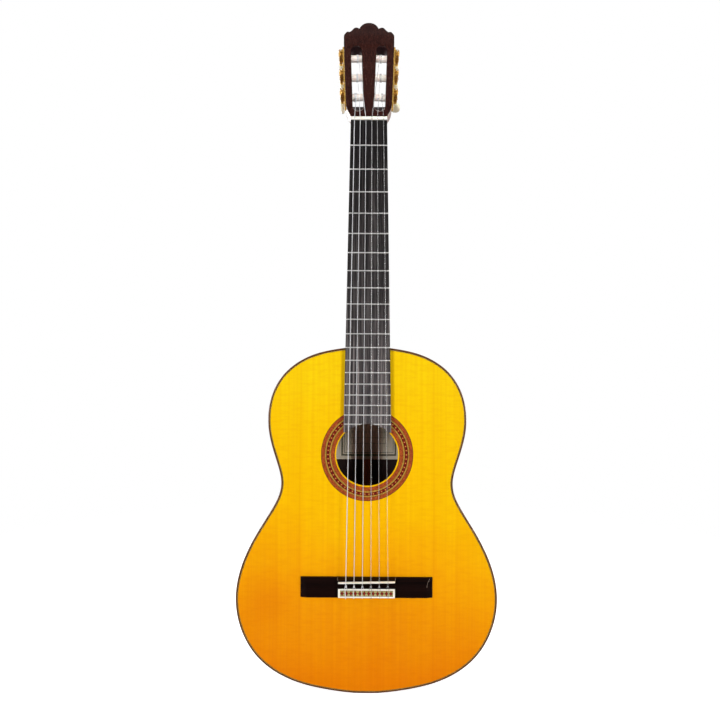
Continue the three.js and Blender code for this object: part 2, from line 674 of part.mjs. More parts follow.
const saddleRing = (x) =>
  [
    [SADDLE_FOOT_Y, -1.4], [SADDLE_FOOT_Y, 1.4], [SADDLE_TOP_Y + 0.9, 1.4],
    [SADDLE_TOP_Y, 0.5], [SADDLE_TOP_Y, -0.5], [SADDLE_TOP_Y + 0.9, -1.4],
  ].map(([y, z]) => [x, y, saddleZ(x) + z]);
add("saddle", loft([-38.9, -20, 0, 20, 38.9].map(saddleRing)), "bone");
const tieInlay = box(-BLOCK_HALF, BLOCK_HALF, TIE_Y - INLAY_T, TIE_Y, TIE_Z0, TIE_Z1);
add("tie_block_inlay", tieInlay, "inlay");

// ---- nut ----
// Section: y, z from the nut's fingerboard edge
const NUT_SECTION = [
  [TOP_Y, 0], [-56.5, 0], [-57.1, 0.8], [-57.1, 2.6], [-56.2, 4.6], [-55.2, NUT_T], [TOP_Y, NUT_T],
];
function nutNotch({ radius, nutX, side }) {
  const floor = STRING_NUT_Y + radius + 0.1;
  const section = [[-60, -1], [floor, -1], [floor, 1], [floor + 2.6, 6.2], [-60, 6.2]];
  const x = Math.abs(nutX);
  return alongNut(section, ...span(side, x - radius - 0.28, x + radius + 0.55));
}
function alongNut(section, x0, x1) {
  return prismX(section.map(([y, z]) => [y, NUT_Z + z]), x0, x1);
}
const nutBlank = alongNut(NUT_SECTION, -BOARD_W_NUT / 2, BOARD_W_NUT / 2);
add("nut", cut(nutBlank, ...STRINGS.map(nutNotch)), "bone");

// ---- strings ----
// Five-sided tube along a path, its section carried round the bends without twisting.
function tube(path, radius) {
  const points = path.map((p) => new THREE.Vector3(...p));
  const sides = 5;
  let across = X_AXIS;
  const rings = points.map((point, i) => {
    const tangent = new THREE.Vector3();
    if (i > 0) tangent.add(point.clone().sub(points[i - 1]).normalize());
    if (i < points.length - 1) tangent.add(points[i + 1].clone().sub(point).normalize());
    tangent.normalize();
    across = across.clone().addScaledVector(tangent, -across.dot(tangent)).normalize();
    const other = new THREE.Vector3().crossVectors(tangent, across);
    return Array.from({ length: sides }, (_, k) => {
      const angle = (2 * Math.PI * k) / sides;
      return point.clone()
        .addScaledVector(across, radius * Math.cos(angle))
        .addScaledVector(other, radius * Math.sin(angle))
        .toArray();
    });
  });
  return loft(rings);
}
// Loop over the tie block, round its tail side and back through the string hole.
function tieLoop({ radius, saddleX, side }) {
  const off = radius + 0.2; // centreline to the tie block's faces
  const lid = TIE_Y - INLAY_T;
  const holeY = STRING_HOLE_Y;
  // x outwards from the string's line, y, z
  return [
    [1.6, -54.9, TIE_Z1 + off + 0.15],
    [1.5, lid, TIE_Z1 + off * 1.08],
    [1.4, lid - 0.78 * off, TIE_Z1 + 0.78 * off],
    [1.3, lid - off, TIE_Z1],
    [0.4, lid - off, TIE_Z0],
    [0.3, lid - 0.78 * off, TIE_Z0 - 0.78 * off],
    [0.2, lid, TIE_Z0 - 1.1 * off],
    [0, TIE_Y + 0.6, TIE_Z0 - 0.6 - off],
    [0, holeY - 1.2, TIE_Z0 - 0.7 - off],
    [0, holeY - 0.3, TIE_Z0 - 0.7 - 0.75 * off],
    [0, holeY, TIE_Z0 + 0.3],
    [0, holeY, TIE_Z1 + 0.1],
  ].map(([x, y, z]) => [saddleX + side * x, y, z]);
}
// Winding just off the roller; it starts on the front and works outwards.
function winding({ radius, rollerX, rollerZ, side }) {
  const steps = 10; // per turn
  const turns = 1.5;
  const coilR = (ROLLER_R + 0.22 + radius) / Math.cos(Math.PI / steps);
  const pitch = 2 * radius + 0.25;
  return Array.from({ length: steps * turns + 1 }, (_, k) => {
    const angle = (2 * Math.PI * k) / steps;
    return new THREE.Vector3(
      rollerX - side * SIDE_X + (side * pitch * k) / steps,
      -coilR * Math.cos(angle),
      rollerZ + coilR * Math.sin(angle),
    ).applyMatrix4(sideFrames[side].matrixWorld).toArray();
  });
}
for (const string of STRINGS) {
  const { number, radius, nutX, saddleX, look } = string;
  const y = SADDLE_TOP_Y - radius - 0.04;
  const z = saddleZ(saddleX);
  const path = [
    ...tieLoop(string),
    [saddleX, y + 0.35, z - 1.2], [saddleX, y, z - 0.2], [saddleX, y, z + 0.4],
    [nutX, STRING_NUT_Y, NUT_Z + 0.6], [nutX, STRING_NUT_Y + 0.05, NUT_Z + 1.6],
    ...winding(string),
  ];
  add("string_" + number, tube(path, radius), look);
}

// ---- tuners, each built in its side frame ----
const TEETH = 14;
const GEAR_R = 6.2; // pitch radius of the worm wheel
const GEAR_OUT = 5.15; // mid plane of the wheel, outwards from the wood
const GEAR_HALF = 1.8; // half the wheel's thickness
const WORM_R = 3.1; // pitch radius of the worm
const WORM_TIP = 3.42;
const WORM_FOOT = 2.2;
const WORM_L = 8.4;
const CENTRE_DIST = 9.5; // roller axis to worm axis
const LEAD = (2 * Math.PI * GEAR_R) / TEETH;
const BACKLASH = 0.42;
const TOOTH_HALF = (LEAD - BACKLASH) / 4; // half thickness at the pitch radius
const BUTTON_Y = 30; // centre of the button along the shaft
const BUTTON_L = 10.4; // half length
const BUTTON_W = 8.6; // half width

function gearRing(x, twist) {
  const tip = GEAR_R + 0.5;
  const foot = GEAR_R - 0.85;
  // radius, offset along the arc
  const tooth = [
    [foot, -(TOOTH_HALF + 0.35)], [tip, -(TOOTH_HALF - 0.3)],
    [tip, TOOTH_HALF - 0.3], [foot, TOOTH_HALF + 0.35],
  ];
  return Array.from({ length: TEETH }, (_, i) => {
    const middle = twist + ((2 * i + 1) * Math.PI) / TEETH;
    return tooth.map(([radius, offset]) => {
      const angle = middle + offset / radius;
      return [x, -radius * Math.sin(angle), radius * Math.cos(angle)];
    });
  }).flat();
}
// String roller, its worm wheel and the wheel's screw, turned from [outwards, radius] steps.
function roller({ side, rollerZ }) {
  const bar = (sides, steps) => turned("x", sides, steps.map(([out, r]) => [side * out, r]));
  const barrel = bar(14, [
    [ROLLER_IN, ROLLER_R - 0.4], [ROLLER_IN + 0.5, ROLLER_R], [-0.4, ROLLER_R],
    [-0.4, 2.4], [4.2, 2.4],
  ]);
  const face = GEAR_OUT + GEAR_HALF;
  const screw = bar(8, [[GEAR_OUT, 2.2], [face + 0.9, 2.2], [face + 1.2, 1.7]]);
  // The teeth lean by the worm's helix angle.
  const twist = (GEAR_HALF * LEAD) / (2 * Math.PI * WORM_R) / GEAR_R;
  const wheel = loft([-1, 1].map((end) =>
    gearRing(side * (GEAR_OUT + end * GEAR_HALF), end * side * twist),
  ));
  return join(barrel, wheel, screw).translate(0, 0, rollerZ);
}

// Helical thread along y; its rows of vertices follow the thread.
function wormThread() {
  const sides = 12;
  const turnsEachWay = 5; // overruns both ends, where the rows are clamped
  // one lead of the thread: offset along the shaft, radius
  const profile = [
    [-(TOOTH_HALF + 0.32), WORM_FOOT], [-(TOOTH_HALF - 0.28), WORM_TIP],
    [TOOTH_HALF - 0.28, WORM_TIP], [TOOTH_HALF + 0.32, WORM_FOOT],
  ];
  const rows = profile.length;
  const positions = [];
  const triangle = (a, b, c) => positions.push(...a, ...b, ...c);
  const onCircle = (radius, y, i) => {
    const angle = (2 * Math.PI * i) / sides;
    return [radius * Math.sin(angle), y, -radius * Math.cos(angle)];
  };
  const at = (row, i) => {
    const turn = Math.floor(row / rows);
    const [offset, radius] = profile[row - turn * rows];
    const y = turn * LEAD + offset - (LEAD * i) / sides;
    if (Math.abs(y) < WORM_L / 2) return onCircle(radius, y, i);
    return onCircle(WORM_FOOT, (Math.sign(y) * WORM_L) / 2, i);
  };
  for (let i = 0; i < sides; i++) {
    // After a full round, a row meets the same row one lead lower.
    const next = (row) => (i === sides - 1 ? at(row - rows, 0) : at(row, i + 1));
    for (let row = -turnsEachWay * rows; row < turnsEachWay * rows; row++) {
      triangle(at(row, i), at(row + 1, i), next(row + 1));
      triangle(at(row, i), next(row + 1), next(row));
    }
    for (const end of [-1, 1]) {
      const y = (end * WORM_L) / 2;
      const a = onCircle(WORM_FOOT, y, i);
      const b = onCircle(WORM_FOOT, y, (i + 1) % sides);
      if (end < 0) triangle(a, b, [0, y, 0]);
      else triangle(b, a, [0, y, 0]);
    }
  }
  return surface(positions);
}
// Flat oval paddle across the shaft.
function button() {
  const stations = [[-3, 0.8], [-2.1, 1], [2.1, 1], [3, 0.8]]; // z, scale
  return loft(stations.map(([z, scale]) =>
    Array.from({ length: 14 }, (_, i) => {
      const angle = (2 * Math.PI * i) / 14;
      const length = BUTTON_L * (0.5 + 0.5 * scale);
      return [
        BUTTON_W * scale * signedPower(Math.cos(angle), 0.8),
        BUTTON_Y + length * signedPower(Math.sin(angle), 0.8),
        z,
      ];
    }),
  ));
}
function worm({ side, rollerZ, buttonTurn }) {
  const buttonShaft = rod("y", 10, -7.9, 27, 1.5);
  return join(wormThread(), buttonShaft, button().rotateY(buttonTurn))
    .translate(side * GEAR_OUT, 0, rollerZ + CENTRE_DIST);
}

// Plate on the headstock's side, with a pair of lugs round each worm shaft.
function sidePlate(side) {
  const near = 0.3;
  const far = 1.5;
  // quarter outline: y, z
  const quarter = [
    [0, 56.5], [2.2, 55.6], [3.4, 53.2], [4.6, 52], [6.6, 51.4], [7.4, 49.6], [7.4, 0],
  ];
  const half = [...quarter, ...quarter.slice(0, -1).reverse().map(([y, z]) => [y, -z])];
  const outline = [...half, ...flipped(half.slice(1, -1))];
  const plate = prismX(outline, ...span(side, near, far));
  const lugs = [];
  const holes = [];
  for (const rollerZ of ROLLER_ZS) {
    const z = rollerZ + CENTRE_DIST;
    const axis = [side * GEAR_OUT, z];
    for (const end of [-1, 1]) {
      const [y0, y1] = span(end, 5, 7.2);
      lugs.push(rod("y", 8, y0, y1, 2.9, axis));
      lugs.push(box(...span(side, far - 0.3, GEAR_OUT), y0, y1, z - 2.8, z + 2.8));
      holes.push(rod("y", 8, y0 - 1, y1 + 1, 1.95, axis));
    }
    holes.push(rod("x", 12, ...span(side, 0, 3), 2.85, [0, rollerZ]));
  }
  return cut(join(plate, ...lugs), ...holes);
}
for (const side of [1, -1]) {
  const parent = sideFrames[side];
  add(side > 0 ? "side_plate_treble" : "side_plate_bass", sidePlate(side), "brass", parent);
  for (const string of STRINGS.filter((s) => s.side === side)) {
    add("roller_" + string.number, roller(string), "cream", parent);
    add("worm_" + string.number, worm(string), "brass", parent);
  }
}

export default root;
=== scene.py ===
"""Classical guitar, upright on its tail: z runs up from the tail of the body along the neck,
+x is the treble side, the soundboard faces -y and the back +y.
Lengths are mm in the guitar's frame, and MM turns them into metres as meshes are made.
Shader, light and camera lengths are metres."""

import math
import random
from collections import namedtuple

import bmesh
import bpy
import numpy as np
from mathutils import Matrix, Vector


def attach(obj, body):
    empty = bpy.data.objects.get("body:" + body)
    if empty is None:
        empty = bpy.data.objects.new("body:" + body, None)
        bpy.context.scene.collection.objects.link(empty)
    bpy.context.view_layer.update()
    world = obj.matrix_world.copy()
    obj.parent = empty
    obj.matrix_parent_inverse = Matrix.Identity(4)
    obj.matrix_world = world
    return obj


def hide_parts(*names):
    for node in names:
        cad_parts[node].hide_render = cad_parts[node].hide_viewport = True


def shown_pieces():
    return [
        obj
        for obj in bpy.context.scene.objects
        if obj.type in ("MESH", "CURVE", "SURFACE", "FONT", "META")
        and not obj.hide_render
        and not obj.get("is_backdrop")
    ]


random.seed(7)
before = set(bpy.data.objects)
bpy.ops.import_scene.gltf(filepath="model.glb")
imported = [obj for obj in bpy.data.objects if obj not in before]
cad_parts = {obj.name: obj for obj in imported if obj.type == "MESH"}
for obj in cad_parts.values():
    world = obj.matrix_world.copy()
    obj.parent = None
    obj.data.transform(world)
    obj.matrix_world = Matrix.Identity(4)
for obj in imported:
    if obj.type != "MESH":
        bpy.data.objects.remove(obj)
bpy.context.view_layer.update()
scene = bpy.context.scene
scene.view_settings.view_transform = "Standard"

# ---------------------------------------------------------------- dimensions
MM = 0.001
SIDES = ((1, "treble"), (-1, "bass"))  # sign of x, name

# body
BODY_LEN = 484.0
TOP_Y, TOP_T = -48.0, 2.6  # outer face and thickness of the soundboard
BACK_T, RIB_T = 2.5, 2.0
BIND_W, BIND_H = 2.2, 5.0
BACK_Y_TAIL, BACK_Y_NECK = 48.0, 43.0  # edge of the back at either end
BACK_DOME, STAR_Z = 2.5, 290.0  # rise of the back, and the height of its crown
HOLE_Z, HOLE_R = 332.5, 43.8
GRAFT_HALF = 8.0

# fingerboard and nut
SCALE, NUT_Z, NUT_W, NUT_T = 650.0, 809.0, 52.0, 5.0
BOARD_T, BOARD_END_Z = 6.5, 364.2
BOARD_Y = TOP_Y - BOARD_T

# headstock: its own frame has y into the wood from the face and z up its length
TILT = math.radians(15)
HEAD_Y, HEAD_Z, HEAD_T, VENEER_T = -51.8, 814.0, 20.0, 2.0
SLOT_LOW, SLOT_HIGH = (15.35, 18.6), (19.0, 119.6)  # treble slot's end centres (x, z)

# tuners: each side frame has its origin on the headstock's side, level with the middle roller
ROLLER_MID, ROLLER_PITCH = 76.7, 35.0
ROLLER_ZS = [k * ROLLER_PITCH for k in (-1, 0, 1)]
ROLLER_R, SIDE_X, SIDE_SLOPE = 5.0, 35.5, 0.042
TEETH, GEAR_R, WORM_R = 14, 6.2, 3.1
LEAD = 2 * math.pi * GEAR_R / TEETH
WORM_GAP, GEAR_OUT, BACKLASH = 9.5, 5.15, 0.42  # worm above roller, wheel out from the side
TOOTH_W = LEAD / 2 - BACKLASH / 2

# bridge
BRIDGE_Z0, BRIDGE_Z1, BRIDGE_HALF, BLOCK_HALF = 133.2, 161.9, 92.5, 40.3
BRIDGE_DEPTH = BRIDGE_Z1 - BRIDGE_Z0
TIE_Z0, TIE_Z1, TIE_Y, INLAY_T = 135.5, 147.8, -57.0, 1.0
TIE_MID = (TIE_Z0 + TIE_Z1) / 2
LID_Y = TIE_Y - INLAY_T
STRING_HOLE_Y = -52.6

# strings; roller_x is the distance from the centre line, turn the angle of the button
STRING_NUT_Y, SADDLE_TOP_Y = -56.3, -60.5
COIL_TURNS, COIL_GAP = 2.6, 0.12
StringSpec = namedtuple("StringSpec", "number radius nut_x saddle_x roller_x roller wound turn")
STRINGS = [
    StringSpec(1, 0.36, 20.9, 29.7, 19.6, 0, False, 0.15),
    StringSpec(2, 0.41, 12.0, 17.6, 16.4, 1, False, 1.35),
    StringSpec(3, 0.51, 4.1, 6.0, 14.6, 2, False, 1.6),
    StringSpec(4, 0.37, -4.3, -5.8, 14.6, 2, True, 1.5),
    StringSpec(5, 0.44, -12.4, -17.4, 16.4, 1, True, 1.35),
    StringSpec(6, 0.55, -20.7, -28.8, 19.6, 0, True, 1.5),
]

# body outline: B-spline control points (x, z) from tail to neck, treble half
OUTLINE = [
    (8.0, 0.0), (24.0, 0.0), (81.68, 8.59), (117.14, 22.03), (141.03, 37.34),
    (158.91, 55.16), (172.58, 77.32), (181.81, 103.69), (184.95, 131.63),
    (181.46, 160.06), (171.52, 189.72), (157.02, 218.4), (139.91, 245.44),
    (124.89, 269.83), (119.26, 292.24), (125.73, 316.45), (135.18, 343.35),
    (141.55, 371.6), (140.29, 403.06), (131.09, 431.29), (110.38, 457.62),
    (74.59, 477.43), (30.81, 484.0), (30.0, 484.0), (0.0, 484.0),
]

# ---------------------------------------------------------------- shader helpers
MATERIALS = {}


class Signal:
    """A shader output; arithmetic on it adds Math nodes."""

    def __init__(self, graph, socket):
        self.graph, self.socket = graph, socket

    def __add__(self, other):
        return self.graph.math("ADD", self, other)

    def __radd__(self, other):
        return self.graph.math("ADD", other, self)

    def __sub__(self, other):
        return self.graph.math("SUBTRACT", self, other)

    def __mul__(self, other):
        return self.graph.math("MULTIPLY", self, other)

    def __pow__(self, other):
        return self.graph.math("POWER", self, other)

    def __abs__(self):
        return self.graph.math("ABSOLUTE", self)


class Graph:
    """The emptied node tree of a material or world, with its output node."""

    def __init__(self, owner, output="OutputMaterial"):
        owner.use_nodes = True
        self.tree = owner.node_tree
        self.tree.nodes.clear()
        self.output = self.node(output)

    def feed(self, socket, value):
        if isinstance(value, Signal):
            value = value.socket
        if isinstance(value, bpy.types.NodeSocket):
            self.tree.links.new(value, socket)
        elif isinstance(value, tuple) and len(value) == 3 and socket.type == "RGBA":
            socket.default_value = (*value, 1)
        else:
            socket.default_value = value

    def node(self, kind, inputs=None, **props):
        new = self.tree.nodes.new("ShaderNode" + kind)
        for key, value in props.items():
            setattr(new, key, value)
        for key, value in (inputs or {}).items():
            self.feed(new.inputs[key], value)
        return new

    def signal(self, kind, inputs=None, output=0, **props):
        return Signal(self, self.node(kind, inputs, **props).outputs[output])

    def math(self, operation, first, second=0.0):
        return self.signal("Math", {0: first, 1: second, 2: 0.0}, operation=operation)

    def mix(self, factor, first, second, blend="MIX"):
        inputs = {0: factor, 6: first, 7: second}
        return self.signal("Mix", inputs, output=2, data_type="RGBA", blend_type=blend)

    def ramp(self, factor, stops):
        """stops: (position, colour or grey)"""
        new = self.node("ValToRGB", {0: factor})
        elements = new.color_ramp.elements
        while len(elements) < len(stops):
            elements.new(0.5)
        for element, (position, c) in zip(elements, stops):
            element.position = position
            element.color = (*c, 1) if isinstance(c, tuple) else (c, c, c, 1)
        return Signal(self, new.outputs[0])

    def map_range(self, value, span, to, **props):
        inputs = {"Value": value, "From Min": span[0], "From Max": span[1]}
        inputs.update({"To Min": to[0], "To Max": to[1]})
        return self.signal("MapRange", inputs, **props)

    def coords(self):
        return self.signal("TexCoord", output="Object")

    def split(self, vector):
        return [Signal(self, out) for out in self.node("SeparateXYZ", {0: vector}).outputs]

    def noise(self, vector, scale=1.0, detail=3.0, rough=0.55, distortion=0.0):
        inputs = {"Vector": vector, "Scale": scale, "Detail": detail}
        inputs.update({"Roughness": rough, "Distortion": distortion})
        return self.signal("TexNoise", inputs)

    def stretched(self, axes, scales, detail=3.0, rough=0.55):
        """Noise with its own scale along each axis; scale 0 leaves an axis out."""
        parts = [axis * scale if scale else 0.0 for axis, scale in zip(axes, scales)]
        vector = self.signal("CombineXYZ", dict(enumerate(parts)))
        return self.noise(vector, detail=detail, rough=rough)

    def finish(self, shader):
        self.feed(self.output.inputs[0], shader)

    def surface(self, inputs, height=None, strength=0.0, distance=0.0):
        """Ends the graph in a Principled shader, with a bump where a height is given."""
        if height is not None:
            bump = {"Strength": strength, "Distance": distance, "Height": height}
            inputs["Normal"] = self.signal("Bump", bump)
        self.finish(self.signal("BsdfPrincipled", inputs))


def new_graph(name):
    MATERIALS[name] = bpy.data.materials.new(name)
    return Graph(MATERIALS[name])


def srgb(*channels):
    """Linear colour from 0-255 sRGB."""
    shares = [c / 255 for c in channels]
    return tuple(c / 12.92 if c <= 0.04045 else ((c + 0.055) / 1.055) ** 2.4 for c in shares)


# ---------------------------------------------------------------- materials
def spruce():
    g = new_graph("spruce_lacquered")
    x, y, z = g.split(g.coords())
    u = abs(x)
    wobble = g.stretched((u, y, z), (9, 0, 3), detail=2.0)
    across = u + (wobble - 0.5) * 0.006
    # annual rings: the power spaces them unevenly from the seam outwards
    ring = g.math("SINE", across**0.92 * 3500)
    ring = g.ramp(ring * 0.5 + 0.5, [(0.0, 0.0), (0.62, 0.15), (1.0, 1.0)])
    fine = g.stretched((across, y, z), (1500, 0, 7), detail=4.0)
    wide = g.stretched((across, y, z), (90, 0, 1.2))
    middling = g.stretched((across, y, z), (240, 0, 1.6))
    silk = g.stretched((u, y, z), (70, 0, 620))
    fleck = g.stretched((u, y, z), (55, 0, 260))
    # tone: yellow at the upper bout, orange at the tail, a deeper patch low on the bass side
    warm = g.map_range(z, span=(0.02, 0.44), to=(1.0, 0.0))
    cloud = g.stretched((x, y, z), (8, 0, 6))
    side = g.map_range(x, span=(-0.19, 0.16), to=(0.06, -0.06))
    treble_half = g.math("LESS_THAN", 0.0, x) * 0.035
    patch_x, patch_z = x - -0.138, z - 0.128
    patch = g.math("EXPONENT", (patch_x * patch_x + patch_z * patch_z) * -900) * 0.16
    tone = (warm + side) + ((cloud - 0.5) * 0.34 + (treble_half + patch))
    colour = g.ramp(tone, [
        (0.0, srgb(255, 216, 14)), (0.12, srgb(255, 210, 10)), (0.47, srgb(252, 195, 3)),
        (0.6, srgb(249, 180, 2)), (0.73, srgb(243, 162, 1)), (0.86, srgb(237, 148, 1)),
        (1.0, srgb(230, 133, 1)),
    ])
    dark = g.mix(1.0, colour, (0.89, 0.70, 0.5), "MULTIPLY")
    grain = ring * 0.42 + (fine - 0.4) * 0.6 + (wide - 0.45) * 0.7 + (middling - 0.42) * 1.1
    colour = g.mix(g.signal("Clamp", {0: grain}), colour, dark)
    colour = g.mix(g.ramp(fleck, [(0.46, 0.0), (0.66, 1.0)]) * 0.35, colour, dark)
    pale = g.mix(1.0, colour, (1.12, 1.2, 1.8), "MULTIPLY")
    colour = g.mix(g.ramp(silk, [(0.52, 0.0), (0.7, 1.0)]) * 0.16, colour, pale)
    inputs = {"Base Color": colour, "Roughness": 0.24 + fine * 0.08, "Specular IOR Level": 0.06,
              "Coat Weight": 0.16, "Coat Roughness": 0.06}
    g.surface(inputs, height=fine + ring, strength=0.05, distance=0.0001)


def wood(name, light, dark, across, along, rough, coat, coat_rough=0.06, grain="z",
         mirror=False, streak=0.5, pores=0.35, spec=0.4):
    """Grained wood; across and along are noise scales, streak and pores are amounts."""
    g = new_graph(name)
    light, dark = srgb(*light), srgb(*dark)
    x, y, z = g.split(g.coords())
    side, deep, run = {
        "x": lambda: (z, y, x),
        "y": lambda: (x, z, y),
        "z": lambda: (abs(x) if mirror else x, y, z),
    }[grain]()
    wobble = g.stretched((side, deep, run), (18, 18, 3), detail=2.0)
    axes = (side + (wobble - 0.5) * 0.018, deep, run)
    fine = g.stretched(axes, (across, across, along), detail=5.0, rough=0.62)
    wide = g.stretched(axes, (across * 0.16, across * 0.16, along * 0.35), detail=2.0)
    middle = tuple((p + q) / 2 for p, q in zip(light, dark))
    blend = fine * (1 - streak * 0.5) + wide * (streak * 0.5)
    colour = g.ramp(blend, [(0.33, dark), (0.5, middle), (0.68, light)])
    pore = g.stretched(axes, (across * 5, across * 5, along * 22), detail=2.0)
    pore = g.ramp(pore, [(0.34, 1.0), (0.44, 0.0)])
    colour = g.mix(pore * pores, colour, tuple(q * 0.35 for q in dark))
    inputs = {"Base Color": colour, "Roughness": rough + fine * 0.12,
              "Specular IOR Level": spec, "Coat Weight": coat, "Coat Roughness": coat_rough}
    g.surface(inputs, height=fine - pore * 0.6, strength=0.12, distance=0.0002)


def metal(name, colour, dark, rough, scale=900, spot=0.3, metallic=1.0):
    """Metal with darker spots; spot is their strength, scale the noise's."""
    g = new_graph(name)
    coords = g.coords()
    fine = g.noise(coords, scale=scale)
    spots = g.ramp(g.noise(coords, scale=scale * 0.12, detail=2.0), [(0.35, 0.0), (0.75, 1.0)])
    inputs = {"Base Color": g.mix(spots * spot, colour, dark), "Metallic": metallic,
              "Roughness": rough + (fine - 0.5) * 0.16}
    g.surface(inputs, height=fine, strength=0.04, distance=0.0001)


def plastic(name, colour, dark, rough, scale, scatter=0.0, clear=0.0):
    """Clouded plastic, bone or pearl; scatter is subsurface, clear is transmission."""
    g = new_graph(name)
    coords = g.coords()
    cloud = g.noise(coords, scale=scale, rough=0.6, distortion=1.2)
    fine = g.noise(coords, scale=scale * 14, detail=2.0)
    inputs = {"Base Color": g.mix(g.ramp(cloud, [(0.35, 0.0), (0.7, 1.0)]), colour, dark),
              "Roughness": rough + fine * 0.1, "Subsurface Weight": scatter,
              "Subsurface Radius": (0.002, 0.0014, 0.001), "Transmission Weight": clear}
    g.surface(inputs, height=fine, strength=0.03, distance=0.0001)


def banded(name, light, dark, lines=1100.0):
    """Wood strips bent round the sound hole: fine lines at constant radius."""
    g = new_graph(name)
    x, _, z = g.split(g.coords())
    up = z - HOLE_Z * MM
    polar = (g.math("SQRT", x * x + up * up), g.math("ARCTAN2", x, up), z)
    fine = g.stretched(polar, (lines, 9, 0))
    cross = g.stretched(polar, (300, 60, 0))
    colour = g.ramp(fine * 0.6 + cross * 0.4, [(0.41, srgb(*dark)), (0.57, srgb(*light))])
    g.surface({"Base Color": colour, "Roughness": 0.35 + fine * 0.1, "Specular IOR Level": 0.2,
               "Coat Weight": 0.3, "Coat Roughness": 0.06})


def wound_string():
    """Silver wire wound tightly on the core."""
    g = new_graph("wound_string")
    coords = g.coords()
    _, y, z = g.split(coords)
    wire_pitch = 0.00034
    turns = g.math("SINE", (z + y * 0.4) * (2 * math.pi / wire_pitch))
    # the colour darkens in the groove between turns: painted shade, alongside the bump
    colour = g.mix(turns * 0.25 + 0.3, (0.92, 0.92, 0.94), (0.68, 0.68, 0.71))
    rough = 0.34 + g.noise(coords, scale=300, detail=2.0) * 0.12
    inputs = {"Base Color": colour, "Metallic": 0.3, "Roughness": rough}
    g.surface(inputs, height=turns, strength=0.5, distance=0.00008)


def ebony():
    g = new_graph("ebony")
    x, y, z = g.split(g.coords())
    fine = g.stretched((x, y, z), (900, 900, 14), detail=5.0, rough=0.65)
    streak = g.stretched((x, y, z), (430, 0, 4), rough=0.6)
    stops = [(0.36, srgb(14, 12, 13)), (0.5, srgb(42, 39, 40)), (0.64, srgb(94, 88, 87))]
    base = g.ramp(fine * 0.45 + streak * 0.55, stops)
    # the board greys towards the body
    height = g.map_range(z, span=(0.36, 0.80), to=(0.0, 1.0))
    stops = [(0.0, 1.0), (0.2, 0.72), (0.45, 0.34), (0.77, 0.16), (1.0, 0.075)]
    grey = g.ramp(height, stops) * 4.0
    grey = g.signal("CombineColor", {0: grey, 1: grey, 2: grey})
    inputs = {"Base Color": g.mix(1.0, base, grey, "MULTIPLY"),
              "Roughness": 0.24 + fine * 0.2, "Specular IOR Level": 0.35}
    g.surface(inputs, height=fine, strength=0.15, distance=0.0002)


def label_paper():
    g = new_graph("label_paper")
    coords = g.coords()
    x = g.split(coords)[0]
    cloud = g.noise(coords, scale=40, detail=4.0)
    fibre = g.noise(coords, scale=2400)
    pale = g.mix(cloud * 0.5, srgb(255, 242, 220), srgb(228, 206, 176))
    # painted shadow of the fingerboard: a brown field down the middle, soft at its edges
    painted_shadow = g.map_range(abs(x), span=(0.019, 0.027), to=(1.0, 0.0))
    inputs = {"Base Color": g.mix(painted_shadow * 0.92, pale, srgb(182, 138, 118)),
              "Roughness": 0.75 + fibre * 0.15}
    g.surface(inputs, height=fibre, strength=0.2, distance=0.0001)


ROSEWOOD = dict(light=(84, 42, 30), dark=(30, 13, 11), across=170, along=3, streak=1.0)
CEDAR = dict(across=300, along=5)
TRIM = dict(light=(122, 72, 30), dark=(70, 36, 14), along=8, rough=0.3)
LINE = dict(across=700, along=8, rough=0.35, coat=0.3, spec=0.2)
spruce()
wood("rosewood_lacquered", **ROSEWOOD, rough=0.3, coat=0.8, mirror=True)
wood("rosewood_ribs", **ROSEWOOD, rough=0.3, coat=0.8)
wood("rosewood_bare_inside", light=(58, 30, 26), dark=(20, 9, 9), across=170, along=3,
     rough=0.6, coat=0.0, mirror=True, streak=1.0)
wood("headstock_veneer", light=(56, 28, 23), dark=(36, 15, 13), across=330, along=4,
     rough=0.2, coat=0.35, coat_rough=0.08, mirror=True, spec=0.2)
wood("bridge_rosewood", light=(30, 13, 10), dark=(7, 4, 4), across=420, along=7,
     rough=0.26, coat=0.0, grain="x", spec=0.1)
wood("binding_rosewood", **TRIM, across=500, coat=0.4, streak=0.4, spec=0.2)
wood("neck_cedar", light=(150, 92, 58), dark=(96, 54, 34), **CEDAR,
     rough=0.33, coat=0.6, streak=0.6)
wood("block_cedar", light=(168, 116, 80), dark=(120, 78, 50), **CEDAR, rough=0.6, coat=0.0)
wood("brace_spruce", light=(222, 190, 140), dark=(190, 150, 100), across=500, along=5,
     rough=0.6, coat=0.0, pores=0.1)
wood("back_strip", light=(196, 94, 62), dark=(130, 56, 38), across=400, along=5,
     rough=0.55, coat=0.0)
wood("end_graft_wood", **TRIM, across=400, coat=0.5, grain="y")
wood("pale_line", light=(226, 190, 110), dark=(196, 156, 84), **LINE, pores=0.05)
wood("black_line", light=(40, 26, 18), dark=(20, 12, 9), **LINE)
ebony()
plastic("bone", srgb(255, 253, 246), srgb(246, 241, 224), rough=0.26, scale=60, scatter=0.15)
metal("gold_plate", (0.95, 0.58, 0.13), (0.70, 0.38, 0.07), rough=0.26, metallic=0.55)
metal("lug_gold", (0.78, 0.44, 0.10), (0.40, 0.19, 0.035),
      rough=0.26, scale=700, spot=0.6, metallic=0.7)
metal("brass_gear", (0.46, 0.24, 0.055), (0.16, 0.065, 0.015),
      rough=0.3, scale=500, spot=0.8, metallic=0.8)
metal("screw_steel", (0.93, 0.86, 0.70), (0.66, 0.56, 0.4), rough=0.25, metallic=0.5)
metal("nickel_silver", (0.97, 0.96, 0.94), (0.90, 0.89, 0.86),
      rough=0.34, spot=0.1, metallic=0.55)
plastic("roller_cream", srgb(255, 248, 240), srgb(246, 222, 210),
        rough=0.35, scale=230, scatter=0.1)
plastic("button_pearloid", srgb(255, 248, 220), srgb(250, 234, 194),
        rough=0.16, scale=170, scatter=0.2)
